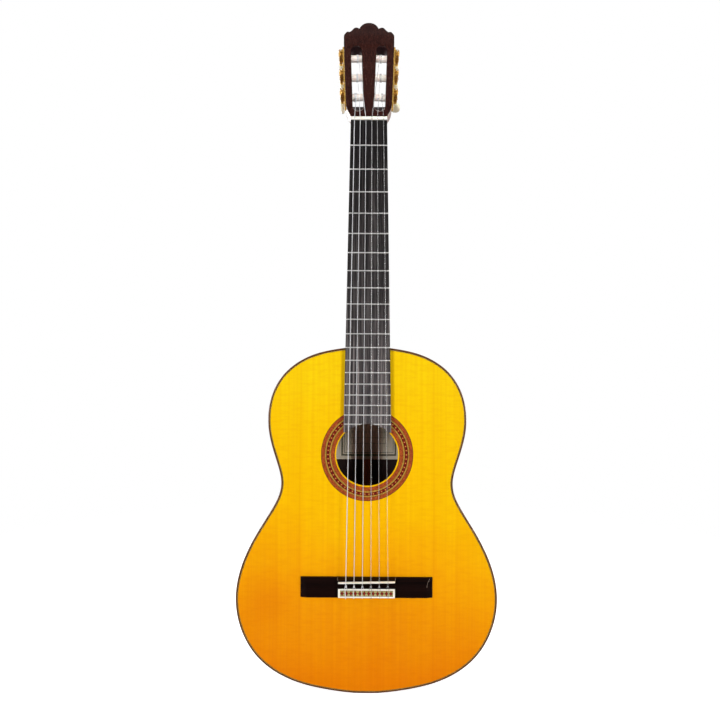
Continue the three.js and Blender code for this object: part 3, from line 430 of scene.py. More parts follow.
plastic("clear_nylon", (0.97, 0.97, 0.97), (0.92, 0.92, 0.92), rough=0.16, scale=300, clear=0.79)
wound_string()
label_paper()
plastic("label_border", srgb(112, 106, 84), srgb(86, 80, 62), rough=0.8, scale=900)
# dark brown for the slots' inner walls: painted shade in the slots
wood("slot_painted_shade", light=(52, 24, 27), dark=(22, 9, 12), across=330, along=4,
     rough=0.5, coat=0.0, spec=0.12)
# pale thin lines that stand in for glints on rounded edges: painted highlights
plastic("polished_edge", srgb(176, 160, 148), srgb(120, 104, 96), rough=0.25, scale=700)
banded("rosette_band", (190, 88, 34), (112, 42, 20), lines=1500)
banded("rosette_line_pale", (222, 176, 66), (176, 130, 48))
banded("rosette_line_green", (128, 108, 50), (92, 66, 34))
banded("rosette_line_dark", (70, 26, 16), (40, 14, 10))
banded("tile_red", (142, 22, 10), (104, 14, 8), lines=4000)
banded("tile_black", (36, 9, 6), (18, 5, 4), lines=4000)
banded("tile_pale", (226, 158, 84), (196, 124, 58), lines=4000)
banded("tile_green", (192, 178, 122), (152, 138, 84), lines=4000)
banded("tile_wine", (150, 26, 24), (110, 14, 14), lines=4000)


# ---------------------------------------------------------------- mesh helpers
# A solid is a pair: points (x, y, z) and faces.
def move(points, matrix):
    return np.asarray(points, float) @ matrix[:3, :3].T + matrix[:3, 3]


def placed(solid, matrix):
    return move(solid[0], matrix), solid[1]


def tidy(mesh, weld):
    bm = bmesh.new()
    bm.from_mesh(mesh)
    if weld:
        bmesh.ops.remove_doubles(bm, verts=bm.verts, dist=1e-7)
    bmesh.ops.recalc_face_normals(bm, faces=bm.faces)
    bm.to_mesh(mesh)
    bm.free()


def smooth_faces(mesh, angle):
    mesh.shade_smooth()
    mesh.set_sharp_from_angle(angle=math.radians(angle))


def piece(name, solid, materials, slot, replaces=None, body="guitar", matrix=None,
          face_materials=None, angle=32, smooth=True):
    if matrix is not None:
        solid = placed(solid, matrix)
    mesh = bpy.data.meshes.new(name)
    mesh.from_pydata((np.asarray(solid[0], float) * MM).tolist(), [], solid[1])
    for key in [materials] if isinstance(materials, str) else materials:
        mesh.materials.append(MATERIALS[key])
    if face_materials is not None:
        mesh.polygons.foreach_set("material_index", face_materials)
    tidy(mesh, weld=True)
    if smooth:
        smooth_faces(mesh, angle)
    obj = bpy.data.objects.new(name, mesh)
    scene.collection.objects.link(obj)
    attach(obj, body)
    if replaces:
        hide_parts(replaces)
    return obj


def loft(rings, closed=False, caps=True):
    """Skin over equal rings of points; closed joins the last ring to the first."""
    size, count = len(rings[0]), len(rings)
    faces = []
    for i in range(count if closed else count - 1):
        here, there = i * size, (i + 1) % count * size
        for j in range(size):
            k = (j + 1) % size
            faces.append((here + j, here + k, there + k, there + j))
    if caps and not closed:
        faces.append(tuple(range(size))[::-1])
        faces.append(tuple((count - 1) * size + j for j in range(size)))
    return np.concatenate([np.asarray(ring, float) for ring in rings]), faces


def merge(*solids):
    points, faces, offset = [], [], 0
    for verts, polygons in solids:
        points.append(np.asarray(verts, float))
        faces += [tuple(k + offset for k in polygon) for polygon in polygons]
        offset += len(verts)
    return np.concatenate(points), faces


def circle(axis, position, radius, n, centre=(0, 0)):
    t = np.arange(n) * 2 * math.pi / n
    u, w = centre[0] + radius * np.cos(t), centre[1] + radius * np.sin(t)
    p = np.full(n, position)
    return np.stack({"x": (p, u, w), "y": (u, p, w), "z": (u, w, p)}[axis], 1)


def turned(axis, steps, n, centre=(0, 0)):
    """Turned solid; steps: (position along the axis, radius)"""
    return loft([circle(axis, position, radius, n, centre) for position, radius in steps])


def bevel_box(x_span, y_span, z_span, radius, steps):
    bm = bmesh.new()
    bmesh.ops.create_cube(bm, size=1)
    spans = (x_span, y_span, z_span)
    for v in bm.verts:
        v.co = Vector([(a + b) / 2 + c * (b - a) for c, (a, b) in zip(v.co, spans)])
    bmesh.ops.bevel(bm, geom=bm.edges[:], offset=radius, segments=steps, affect="EDGES",
                    profile=0.6)
    solid = np.array([v.co[:] for v in bm.verts]), [tuple(v.index for v in f.verts) for f in bm.faces]
    bm.free()
    return solid


def evaluated_mesh(obj):
    bpy.context.view_layer.update()
    graph = bpy.context.evaluated_depsgraph_get()
    return bpy.data.meshes.new_from_object(obj.evaluated_get(graph))


def flat_plate(loops, low, high, bevel, matrix):
    """Plate with bevelled rims from 2D loops, the outline first, then its holes.
    It is pushed from low to high along its third axis, then placed by the matrix."""
    curve = bpy.data.curves.new("tmp", "CURVE")
    curve.dimensions = "2D"
    curve.fill_mode = "BOTH"
    for points in loops:
        spline = curve.splines.new("POLY")
        spline.points.add(len(points) - 1)
        spline.points.foreach_set("co", [c for p in points for c in (p[0], p[1], 0, 1)])
        spline.use_cyclic_u = True
    curve.extrude = (high - low) / 2 - bevel
    curve.bevel_depth = bevel
    curve.bevel_resolution = 2
    curve.offset = -bevel
    obj = bpy.data.objects.new("tmp", curve)
    scene.collection.objects.link(obj)
    mesh = evaluated_mesh(obj)
    bm = bmesh.new()
    bm.from_mesh(mesh)
    bmesh.ops.remove_doubles(bm, verts=bm.verts, dist=1e-4)
    bmesh.ops.recalc_face_normals(bm, faces=bm.faces)
    bm.verts.index_update()
    verts = np.array([v.co[:] for v in bm.verts])
    faces = [tuple(v.index for v in face.verts) for face in bm.faces]
    bm.free()
    bpy.data.objects.remove(obj)
    bpy.data.curves.remove(curve)
    bpy.data.meshes.remove(mesh)
    verts[:, 2] += (low + high) / 2
    return move(verts, matrix), faces


def axes_matrix(*columns):
    out = np.eye(4)
    out[:3, :3] = np.array(columns, float).T
    return out


XZ_Y = axes_matrix((1, 0, 0), (0, 0, 1), (0, 1, 0))  # plate drawn in (x, z), pushed along y
YZ_X = axes_matrix((0, 1, 0), (0, 0, 1), (1, 0, 0))  # plate drawn in (y, z), pushed along x


def turn_x(angle):
    c, s = math.cos(angle), math.sin(angle)
    out = np.eye(4)
    out[1:3, 1:3] = [[c, -s], [s, c]]
    return out


def turn_y(angle):
    c, s = math.cos(angle), math.sin(angle)
    out = np.eye(4)
    out[0, 0], out[0, 2], out[2, 0], out[2, 2] = c, s, -s, c
    return out


def shift(x, y, z):
    out = np.eye(4)
    out[:3, 3] = (x, y, z)
    return out


HEAD = shift(0, HEAD_Y, HEAD_Z) @ turn_x(-TILT)
HEAD_INV = np.linalg.inv(HEAD)


def side_frame(s):
    offset = shift(s * SIDE_X, HEAD_T / 2, ROLLER_MID)
    return HEAD @ offset @ turn_y(s * math.atan(SIDE_SLOPE))


def boolean(obj, cutters, operation="DIFFERENCE"):
    verts, faces = merge(*cutters)
    mesh = bpy.data.meshes.new("cut")
    mesh.from_pydata((verts * MM).tolist(), [], faces)
    tidy(mesh, weld=False)
    cutter = bpy.data.objects.new("cut", mesh)
    scene.collection.objects.link(cutter)
    modifier = obj.modifiers.new("cut", "BOOLEAN")
    modifier.operation, modifier.solver, modifier.object = operation, "EXACT", cutter
    new = evaluated_mesh(obj)
    obj.modifiers.clear()
    old = obj.data
    obj.data = new
    new.name = old.name
    bpy.data.objects.remove(cutter)
    smooth_faces(new, 32)


def distinct(points):
    """Path without points that repeat the one before."""
    points = np.asarray(points, float)
    steps = np.linalg.norm(np.diff(points, axis=0), axis=1)
    return points[np.concatenate([[True], steps > 1e-4])]


def tube(path, radius, sides):
    points = distinct(path)
    legs = np.diff(points, axis=0)
    legs /= np.linalg.norm(legs, axis=1)[:, None]
    tangents = np.vstack([legs[:1], legs[:-1] + legs[1:], legs[-1:]])
    tangents /= np.linalg.norm(tangents, axis=1)[:, None]
    u = np.array([1.0, 0, 0])
    if abs(u @ tangents[0]) > 0.9:
        u = np.array([0, 1.0, 0])
    a = np.arange(sides) * 2 * math.pi / sides
    rings = []
    for point, tangent in zip(points, tangents):
        u = u - tangent * (u @ tangent)
        u /= np.linalg.norm(u)
        w = np.cross(tangent, u)
        rings.append(point + radius * (np.cos(a)[:, None] * u + np.sin(a)[:, None] * w))
    return loft(rings)


def smooth_path(points, n):
    """Catmull-Rom curve through the points, n steps to a leg."""
    points = distinct(points)
    points = np.vstack([2 * points[0] - points[1], points, 2 * points[-1] - points[-2]])
    out = []
    for i in range(1, len(points) - 2):
        p0, p1, p2, p3 = points[i - 1 : i + 3]
        for k in range(n):
            t = k / n
            square = (2 * p0 - 5 * p1 + 4 * p2 - p3) * t * t
            cube = (3 * p1 - p0 - 3 * p2 + p3) * t**3
            out.append(0.5 * (2 * p1 + (p2 - p0) * t + square + cube))
    out.append(points[-2])
    return np.array(out)


# ---------------------------------------------------------------- outline
CONTROL = OUTLINE + [(-x, z) for x, z in OUTLINE[:-1][::-1]]


def outline_point(i, t):
    """x, z and the outward normal at share t of B-spline leg i"""
    q = np.array([CONTROL[(i + k) % len(CONTROL)] for k in (-1, 0, 1, 2)])
    weights = [(1 - t) ** 3, 3 * t**3 - 6 * t * t + 4, -3 * t**3 + 3 * t * t + 3 * t + 1, t**3]
    slopes = [-3 * (1 - t) ** 2, 9 * t * t - 12 * t, -9 * t * t + 6 * t + 3, 3 * t * t]
    p, tangent = np.array(weights) / 6 @ q, np.array(slopes) / 6 @ q
    tangent /= np.linalg.norm(tangent) or 1
    return p[0], p[1], tangent[1], -tangent[0]


def half_outline():
    out = []
    for i in range(len(OUTLINE) - 1):
        steps = {0: 2, 22: 3, 23: 3}.get(i, 9)
        out += [outline_point(i, k / steps) for k in range(steps)]
    out.append(outline_point(len(OUTLINE) - 1, 0))
    return np.array(out)


HALF = half_outline()


def half_inset(t):
    return HALF[:, :2] - HALF[:, 2:] * t


def inset(t):
    """whole outline (x, z), moved in by t"""
    right = half_inset(t)
    return np.vstack([right, (right[:-1] * [-1, 1])[::-1]])


def top_edge(z):
    return TOP_Y


def back_edge(z):
    return BACK_Y_TAIL - (BACK_Y_TAIL - BACK_Y_NECK) * z / BODY_LEN


def at_depth(points, y):
    """(x, z) points given one y, or a y each"""
    return np.stack([points[:, 0], np.broadcast_to(y, len(points)), points[:, 1]], 1)


# ---------------------------------------------------------------- soundboard
in_bind = inset(BIND_W)
angles = np.arctan2(in_bind[:, 1] - HOLE_Z, in_bind[:, 0])


def hole_loop(radius):
    return np.stack([radius * np.cos(angles), HOLE_Z + radius * np.sin(angles)], 1)


hole_low, hole_top = hole_loop(HOLE_R), hole_loop(HOLE_R + 0.35)
rings = [at_depth(hole_low, TOP_Y + 0.35), at_depth(hole_top, TOP_Y)]
for t in (0.12, 0.3, 0.5, 0.7, 0.88, 1.0):
    rings.append(at_depth(hole_top + (in_bind - hole_top) * t, TOP_Y))
for t in (1.0, 0.5, 0.0):
    rings.append(at_depth(hole_low + (in_bind - hole_low) * t, TOP_Y + TOP_T))
piece("soundboard_spruce", loft(rings, closed=True), "spruce_lacquered", "spruce_top",
      "soundboard")


# ---------------------------------------------------------------- bindings and edge lines
def edge_ring(name, edge, profile, material, replaces=None):
    """Ring round the body; profile: (inset from the outline, y from the edge)"""
    loops = [(inset(t), dy) for t, dy in profile]
    rings = [at_depth(points, edge(points[:, 1]) + dy) for points, dy in loops]
    piece(name, loft(rings, closed=True), material, "binding_wood", replaces)


ROUNDED = [(0, BIND_H), (0, 1.3), (0.12, 0.65), (0.45, 0.2), (1.1, 0), (BIND_W, 0),
           (BIND_W, BIND_H)]
edge_ring("top_binding_ring", top_edge, ROUNDED, "binding_rosewood", "top_binding")
purfling = [(2.2, 2.7, "black_line"), (2.7, 3.1, "pale_line"), (3.1, 3.5, "black_line")]
for k, (a, b, material) in enumerate(purfling):
    profile = [(a, 0.5), (a, -0.02), (b, -0.02), (b, 0.5)]
    edge_ring(f"top_purfling_{k + 1}", top_edge, profile, material)
edge_ring("back_binding_ring", back_edge, [(t, -dy) for t, dy in ROUNDED[::-1]],
          "binding_rosewood", "back_binding")
for name, edge, y0, y1 in (("rib_line_top", top_edge, BIND_H - 0.02, BIND_H + 0.6),
                           ("rib_line_back", back_edge, -BIND_H - 0.6, -BIND_H)):
    edge_ring(name, edge, [(-0.02, y0), (-0.02, y1), (0.5, y1), (0.5, y0)], "pale_line")

# ---------------------------------------------------------------- ribs and end graft
for s, side in SIDES:
    outer, inner = half_inset(0), half_inset(RIB_T)
    for edge in (outer, inner):
        edge[-1, 0] = 5
        edge[:, 0] *= s
    a, b = at_depth(outer, TOP_Y + BIND_H), at_depth(outer, back_edge(outer[:, 1]) - BIND_H)
    c, d = at_depth(inner, back_edge(inner[:, 1]) - BIND_H), at_depth(inner, TOP_Y + BIND_H)
    lines = [a + (b - a) * t for t in (0, 0.25, 0.5, 0.75, 1)] + [c, d]
    piece(f"rib_{side}_side", loft(np.stack(lines, axis=1)), "rosewood_ribs", "rosewood",
          f"rib_{side}")

graft_ys = (TOP_Y + BIND_H, BACK_Y_TAIL - BIND_H)
piece("end_graft_strip", bevel_box((-GRAFT_HALF, GRAFT_HALF), graft_ys, (0, RIB_T), 0.05, 1),
      "end_graft_wood", "binding_wood", "end_graft")
for s, side in SIDES:
    x_span = (s * GRAFT_HALF - 0.3, s * GRAFT_HALF + 0.3)
    piece(f"end_graft_line_{side}", bevel_box(x_span, graft_ys, (-0.02, 1.0), 0.02, 1),
          "pale_line", "binding_wood")

# ---------------------------------------------------------------- back
CROWN = np.array([0.0, STAR_Z])
# rings of the back, as shares of the way from the crown to the binding
SHARES = [1.0, 0.97, 0.92, 0.85, 0.76, 0.66, 0.55, 0.44, 0.33, 0.22, 0.12, 0.05]


def back_y(z, share, inner):
    return back_edge(z) + BACK_DOME * (1 - share**2) - (BACK_T if inner else 0)


def back_plate():
    """Domed sheet; faces of its inner side take the second material."""
    layers, faces, face_materials = [], [], []
    n = len(in_bind)
    layer = len(SHARES) * n + 1
    for inner in (0, 1):
        for share in SHARES:
            points = CROWN + (in_bind - CROWN) * share
            layers.append(at_depth(points, back_y(points[:, 1], share, inner)))
        layers.append(np.array([[0, back_y(STAR_Z, 0, inner), STAR_Z]]))
        start = inner * layer
        for r in range(len(SHARES) - 1):
            here, there = start + r * n, start + (r + 1) * n
            for j in range(n):
                k = (j + 1) % n
                faces.append((here + j, here + k, there + k, there + j))
        last, tip = start + (len(SHARES) - 1) * n, start + len(SHARES) * n
        faces += [(last + j, last + (j + 1) % n, tip) for j in range(n)]
        face_materials += [inner] * (len(SHARES) * n)
    for j in range(n):
        k = (j + 1) % n
        faces.append((j, k, layer + k, layer + j))
        face_materials.append(0)
    piece("back_plate", (np.concatenate(layers), faces),
          ["rosewood_lacquered", "rosewood_bare_inside"], "rosewood", "back",
          face_materials=face_materials)


def share_at(x, z):
    """share of the way from the crown to the binding, at any point"""
    d = np.array([x, z - STAR_Z])
    if np.linalg.norm(d) < 1e-6:
        return 0.0
    a = in_bind - CROWN
    e = np.roll(a, -1, axis=0) - a
    cross = -d[0] * e[:, 1] + d[1] * e[:, 0]
    with np.errstate(divide="ignore", invalid="ignore"):
        t = (-a[:, 0] * e[:, 1] + a[:, 1] * e[:, 0]) / cross
        u = (d[0] * a[:, 1] - d[1] * a[:, 0]) / cross
    hit = (t > 0) & (u >= -1e-6) & (u <= 1 + 1e-6) & np.isfinite(t)
    return min(1.0, 1 / t[hit].min()) if hit.any() else 1.0


def back_patch(x_span, z_span, gap, thick, nx, nz, outside=False):
    """Thin sheet that follows the back, inside it or outside."""
    (x0, x1), (z0, z1) = x_span, z_span
    sign = 1 if outside else -1
    sections = []
    for i in range(nx + 1):
        x = x0 + (x1 - x0) * i / nx
        zs = [z0 + (z1 - z0) * k / nz for k in range(nz + 1)]
        ys = [back_y(z, share_at(x, z), not outside) + sign * gap for z in zs]
        near = [(x, y, z) for y, z in zip(ys, zs)]
        far = [(x, y + sign * thick, z) for y, z in zip(ys, zs)][::-1]
        sections.append(np.array(near + far))
    return loft(sections)


back_plate()
centre_lines = [(-3.2, -2.5, "pale_line"), (-2.5, 2.5, "binding_rosewood"), (2.5, 3.2, "pale_line")]
for k, (x0, x1, material) in enumerate(centre_lines):
    strip = back_patch((x0, x1), (2.4, 481.5), -0.5, 0.53, 1, 60, outside=True)
    piece(f"back_centre_line_{k + 1}", strip, material, "binding_wood")

# label inside the back: paper with a double border and three rules (x0, x1, z0, z1)
LABEL_LINES = [
    (-39.4, 46.6, 319.0, 321.5), (-39.4, 46.6, 385.1, 387.6),
    (-39.4, -36.9, 321.5, 385.1), (44.1, 46.6, 321.5, 385.1),
    (-35.0, 42.2, 323.6, 324.4), (-35.0, 42.2, 382.2, 383.0),
    (-35.0, -34.2, 324.4, 382.2), (41.4, 42.2, 324.4, 382.2),
    (-24, 31, 338.0, 338.35), (-24, 31, 347.0, 347.35), (-24, 31, 356.0, 356.35),
]
piece("label_sheet", back_patch((-52, 59), (313.5, 393), 1.75, 0.25, 16, 12), "label_paper",
      "label_paper", "label")
borders = []
for x0, x1, z0, z1 in LABEL_LINES:
    nx, nz = max(1, int((x1 - x0) / 8)), max(1, int((z1 - z0) / 8))
    borders.append(back_patch((x0, x1), (z0, z1), 2.0, 0.05, nx, nz))
piece("label_border_lines", merge(*borders), "label_border", "label_paper")

# ---------------------------------------------------------------- rosette
PROUD_Y, SUNK_Y = TOP_Y - 0.03, TOP_Y + 0.6
ROSETTE_RINGS = [  # inner radius, outer radius, material
    (45.6, 46.0, "line_dark"), (46.0, 51.0, "band"), (51.0, 51.4, "line_dark"),
    (51.4, 52.0, "line_pale"), (52.0, 52.5, "line_green"), (52.5, 53.2, "line_pale"),
    (57.9, 58.5, "line_pale"), (58.5, 59.0, "line_green"), (59.0, 59.6, "line_pale"),
    (59.6, 60.0, "line_dark"), (60.0, 64.7, "band"), (64.7, 65.3, "line_dark"),
]


def hole_circle(radius, y, n):
    t = np.arange(n) * 2 * math.pi / n
    return np.stack([radius * np.sin(t), np.full(n, y), HOLE_Z + radius * np.cos(t)], 1)


for k, (r0, r1, material) in enumerate(ROSETTE_RINGS):
    corners = ((r0, SUNK_Y), (r0, PROUD_Y), (r1, PROUD_Y), (r1, SUNK_Y))
    solid = loft([hole_circle(r, y, 180) for r, y in corners], closed=True)
    piece(f"rosette_ring_{k + 1:02d}", solid, f"rosette_{material}", "mosaic",
          "rosette" if k == 1 else None)


def braid_motif(u, w):
    """Material of a tile: a link with a pale heart; u 0..1 along the ring, w -1..1 across."""
    r = math.hypot(abs(u - 0.5) * 2 * 1.02, w)
    if r < 0.33:
        return 2
    return 0 if 0.44 <= r < 0.98 else 1


def rosette_braid(r0, r1, repeats, per, rows):
    n = repeats * per
    rings = [hole_circle(r, PROUD_Y, n) for r in np.linspace(r0, r1, rows + 1)]
    rings += [hole_circle(r, SUNK_Y, n) for r in (r1, r0)]
    tiles = [braid_motif(((j % per) + 0.5) / per, (i + 0.5) / rows * 2 - 1)
             for i in range(rows) for j in range(n)]
    tiles += [1] * (3 * n)
    piece("rosette_braid", loft(rings, closed=True),
          ["tile_red", "tile_black", "tile_pale", "rosette_line_pale"], "mosaic",
          face_materials=tiles, smooth=False)


rosette_braid(r0=53.2, r1=57.9, repeats=58, per=14, rows=13)

# ---------------------------------------------------------------- neck and heel
HEEL_POWER, SHAFT_BLEND = 2.25, 8
HEEL = np.array([  # y, half width, reach up from the body
    (-47, 30.5, 96), (-44, 29.4, 80), (-41, 28.2, 66), (-36, 27.2, 50), (-32, 25.8, 41),
    (-26, 23.6, 32), (-18, 21, 25.5), (-8, 18.3, 20.6), (4, 16.2, 17.6), (18, 14.8, 15.6),
    (30, 14.1, 14.9), (40, 13.8, 14.5),
], float)
SHAFT = np.array([  # z, depth, power of the section's curve
    (484, 17.5, 2.3), (560, 17, 2.3), (650, 16.4, 2.3), (740, 15.6, 2.3), (785, 15, 2.35),
    (798, 15.2, 3.0), (806, 15.9, 4.4), (812, 16.7, 7.5), (814, 16.95, 9),
], float)
# stations of the neck: rise above the body over the heel, then z up to the head
HEEL_RISES = [
    0, 1.5, 3, 4.5, 6, 7.5, 9, 10.2, 11.4, 12.4, 13.2, 13.8, 14.2, 14.45, 14.7, 15, 15.5, 16.2,
    17, 18, 19.5, 21.5, 24, 27, 30, 34, 38, 43, 49, 56, 64, 74, 86, 100, 116,
]
SHAFT_ZS = [620, 660, 700, 740, 770, 785, 792, 798, 803, 806, 809, 812, 814]


def board_half(z):
    """half width of the fingerboard; it gains 11.1 by the twelfth fret"""
    return (NUT_W + 11.1 * (NUT_Z - z) / (SCALE / 2)) / 2


def heel_width(y):
    return np.interp(y, HEEL[:, 0], HEEL[:, 1])


def heel_reach(y):
    """reach, smoothed by a short running mean"""
    return np.interp(y + np.linspace(-2.5, 2.5, 7), HEEL[:, 0], HEEL[:, 2]).mean()


def neck_ring(z, n=40):
    depth = np.interp(z, SHAFT[:, 0], SHAFT[:, 1])
    power = np.interp(z, SHAFT[:, 0], SHAFT[:, 2])
    width = board_half(min(z, NUT_Z))
    rise = z - BODY_LEN
    bottom = TOP_Y + depth
    flat = False  # cut square by the foot of the heel
    if rise < 130:
        inside = [y for y in np.linspace(-47, 40, 400) if heel_reach(y) > rise]
        if inside and inside[-1] > bottom:
            bottom = inside[-1]
            flat = bottom > 39.7 and rise < heel_reach(40)
    right = []
    for i in range(n + 1):
        y = TOP_Y + (bottom - TOP_Y) * math.sin(i / n * math.pi / 2)
        t = (y - TOP_Y) / depth
        shaft = width * max(0.0, 1 - t**power) ** (1 / power) if t < 1 else 0.0
        heel = 0.0
        if rise < 130 and y > -47:
            k = rise / heel_reach(y)
            if k < 1:
                heel = heel_width(y) * (1 - k**HEEL_POWER) ** (1 / HEEL_POWER)
        x = min((shaft**SHAFT_BLEND + heel**SHAFT_BLEND) ** (1 / SHAFT_BLEND), width)
        right.append((x, y, z))
    if not flat:
        right[-1] = (0.0, bottom, z)
    return np.array(right + [(-x, y, z) for x, y, z in right[::-1]])


zs = list(BODY_LEN + 0.1 + np.array(HEEL_RISES)) + SHAFT_ZS
piece("neck_shaft_and_heel", loft([neck_ring(z) for z in zs]), "neck_cedar", "cedar_neck", "neck",
      angle=40)

CAP_Y, (_, CAP_HALF, CAP_REACH) = 40.02, HEEL[-1]
cap = []
for i in range(33):
    c, s = math.cos(math.pi * i / 32), math.sin(math.pi * i / 32)
    x = CAP_HALF * math.copysign(abs(c) ** (2 / HEEL_POWER), c)
    cap.append((x, BODY_LEN + 0.05 + CAP_REACH * max(0.0, s) ** (2 / HEEL_POWER)))
piece("heel_cap_plate", flat_plate([cap], CAP_Y, 43.0, 0.25, XZ_Y), "rosewood_lacquered",
      "rosewood", "heel_cap")
piece("heel_cap_line", flat_plate([cap], 39.4, CAP_Y, 0.05, XZ_Y), "pale_line", "binding_wood")


# ---------------------------------------------------------------- headstock
def head_side(z):
    return SIDE_X + SIDE_SLOPE * (z - ROLLER_MID)


HEAD_HALF = [  # treble half of the outline (x, z) in the head frame, from the nut to the crown
    (26, 0.2), (26, 1.0), (27, 4.4), (28.3, 7.3), (29.7, 9.9), (30.8, 12.4), (31.7, 15),
    (32.4, 17.6), (32.9, 20.5), (head_side(26), 26), (head_side(131), 131), (37.8, 137),
    (37.95, 142), (37.9, 146.4), (37.4, 147.8), (36.6, 149.2), (35, 151.7), (33.8, 153.1),
    (32.7, 153.8), (31.6, 153.9), (30.7, 153.6), (29.8, 153.3), (29.2, 153.4), (28.1, 154.2),
    (26.5, 155.6), (25, 157.4), (23.5, 159.4), (22.4, 160.6), (21.4, 161.3), (20.2, 161.6),
    (19, 161.65), (17.5, 161.4), (16.4, 160.9), (15.4, 160.2), (14.6, 159.8), (14.2, 160.3),
    (13.7, 161.7), (12.9, 163.1), (11.4, 165.3), (9.9, 166.9), (8.4, 168.1), (6.9, 169.0),
    (5.4, 169.7), (3.9, 170.2), (2.2, 170.5), (0.8, 170.6),
]
HEAD_LOOP = HEAD_HALF + [(-x, z) for x, z in HEAD_HALF[::-1]]
SLOT_ANGLE = math.atan2(SLOT_HIGH[1] - SLOT_LOW[1], SLOT_HIGH[0] - SLOT_LOW[0])


def slot_loop(s, radius, n=14):
    points = []
    for (x, z), start in ((SLOT_HIGH, -math.pi / 2), (SLOT_LOW, math.pi / 2)):
        turns = [SLOT_ANGLE + start + math.pi * i / n for i in range(n + 1)]
        points += [(x + radius * math.cos(a), z + radius * math.sin(a)) for a in turns]
    return points if s > 0 else [(-x, z) for x, z in points][::-1]


def head_plate(y0, y1, bevel, slot_radius=8.05):
    loops = [HEAD_LOOP, slot_loop(1, slot_radius), slot_loop(-1, slot_radius)]
    return flat_plate(loops, y0, y1, bevel, HEAD @ XZ_Y)


def trim_foot(obj):
    """cuts level with the upper face of the nut"""
    boolean(obj, [bevel_box((-50, 50), (-90, 60), (760, HEAD_Z + 0.1), 0.01, 1)])


def paint_slots(obj, material, radius, depth):
    """gives the faces within radius of a slot's centre line, down to depth, another material"""
    low, span = np.array(SLOT_LOW), np.array(SLOT_HIGH) - np.array(SLOT_LOW)
    obj.data.materials.append(MATERIALS[material])
    for face in obj.data.polygons:
        x, y, z = move(np.array(face.center[:]) / MM, HEAD_INV)
        point = np.array([abs(x), z]) - low
        t = min(1.0, max(0.0, point @ span / (span @ span)))
        if np.linalg.norm(point - span * t) < radius and y < depth:
            face.material_index = len(obj.data.materials) - 1


head = piece("headstock_wood", head_plate(VENEER_T + 0.35, HEAD_T, 0.6), "neck_cedar", "cedar_neck")
# the lower end of each slot is ramped, so the strings drop in to the rollers
RAMP = [  # y, z in the head frame
    (VENEER_T + 0.4, 6), (VENEER_T + 0.4, 13.3), (HEAD_T - 1.2, 33.6), (HEAD_T - 0.3, 34.3),
    (HEAD_T - 0.02, 33.6), (HEAD_T - 0.02, 6),
]
for x_span in ((6.6, 24.6), (-24.6, -6.6)):
    solid = loft([np.array([(x, y, z) for y, z in RAMP]) for x in x_span])
    boolean(head, [placed(solid, HEAD)], "UNION")
cuts = []
for s, _ in SIDES:
    steps = [(s * 4, ROLLER_R + 0.32), (s * -31.2, ROLLER_R + 0.32)]
    cuts += [placed(turned("x", steps, 28, (0, z)), side_frame(s)) for z in ROLLER_ZS]
cuts.append(bevel_box((-50, 50), (-90, TOP_Y), (760, HEAD_Z + 0.05), 0.01, 1))
boolean(head, cuts)
# the slot walls take the dark brown: painted shade in the slots
paint_slots(head, "slot_painted_shade", radius=8.7, depth=HEAD_T - 0.3)

face = piece("headstock_face", head_plate(0.0, VENEER_T, 0.45), "headstock_veneer",
             "rosewood_veneer", "headstock_veneer")
trim_foot(face)
line = piece("headstock_line", head_plate(VENEER_T, VENEER_T + 0.36, 0.05, slot_radius=8.75),
             "pale_line", "binding_wood")
trim_foot(line)
paint_slots(line, "black_line", radius=9.2, depth=HEAD_T)

# pale painted highlight along the lower lip of each slot
for s, side in SIDES:
    lip = []
    for k in range(19):
        a = SLOT_ANGLE + math.pi / 2 + math.pi * (0.13 + 0.74 * k / 18)
        lip.append((s * (SLOT_LOW[0] + 8.0 * math.cos(a)), 0.3, SLOT_LOW[1] + 8.0 * math.sin(a)))
    piece(f"slot_highlight_{side}", tube(lip, 0.34, 8), "polished_edge", "rosewood_veneer", matrix=HEAD,
          angle=60)

# ---------------------------------------------------------------- inside the body
foot = bevel_box((-28, 28), (TOP_Y + TOP_T + 0.02, 40.1), (452, 481.1), 1.6, 3)
piece("neck_inner_foot", foot, "block_cedar", "cedar_neck", angle=40)


def lining(name, s, edge, near, far):
    """Row of small blocks along a rib, y from near to far off the edge, tapering away."""
    outer, inner = half_inset(RIB_T + 0.05), half_inset(RIB_T + 4.6)
    steps = np.linalg.norm(np.diff(outer, axis=0), axis=1)
    run = np.concatenate([[0], np.cumsum(steps)])
    thin, pitch, gap = 0.35, 7.5, 1.0

    def section(d):
        ox, oz = (np.interp(d, run, outer[:, k]) for k in (0, 1))
        ix, iz = (np.interp(d, run, inner[:, k]) for k in (0, 1))
        tx, tz = ix * thin + ox * (1 - thin), iz * thin + oz * (1 - thin)
        return np.array([
            (s * ox, edge(oz) + near, oz), (s * ix, edge(iz) + near, iz),
            (s * tx, edge(iz) + far, tz), (s * ox, edge(oz) + far, oz),
        ])

    blocks = []
    d = 42.0
    while d + pitch < run[-1] - 34:
        blocks.append(loft([section(d), section(d + pitch - gap)]))
        d += pitch
    piece(name, merge(*blocks), "block_cedar", "cedar_neck", angle=30)


for s, side in SIDES:
    lining(f"lining_top_{side}", s, top_edge, BIND_H + 0.1, BIND_H + 11)
    lining(f"lining_back_{side}", s, back_edge, -BIND_H - 0.1, -BIND_H - 11)

# ---------------------------------------------------------------- fingerboard and frets
end_half = board_half(BOARD_END_Z)
start = math.asin((BOARD_END_Z - HOLE_Z) / HOLE_R)
arc = [(HOLE_R * math.cos(t), HOLE_Z + HOLE_R * math.sin(t))
       for t in np.linspace(math.pi - start, start, 41)]
loop = [(-end_half, BOARD_END_Z)] + arc
loop += [(end_half, BOARD_END_Z), (NUT_W / 2, NUT_Z), (-NUT_W / 2, NUT_Z)]
piece("fingerboard_ebony", flat_plate([loop], BOARD_Y, TOP_Y - 0.01, 0.3, XZ_Y), "ebony", "ebony",
      "fingerboard")

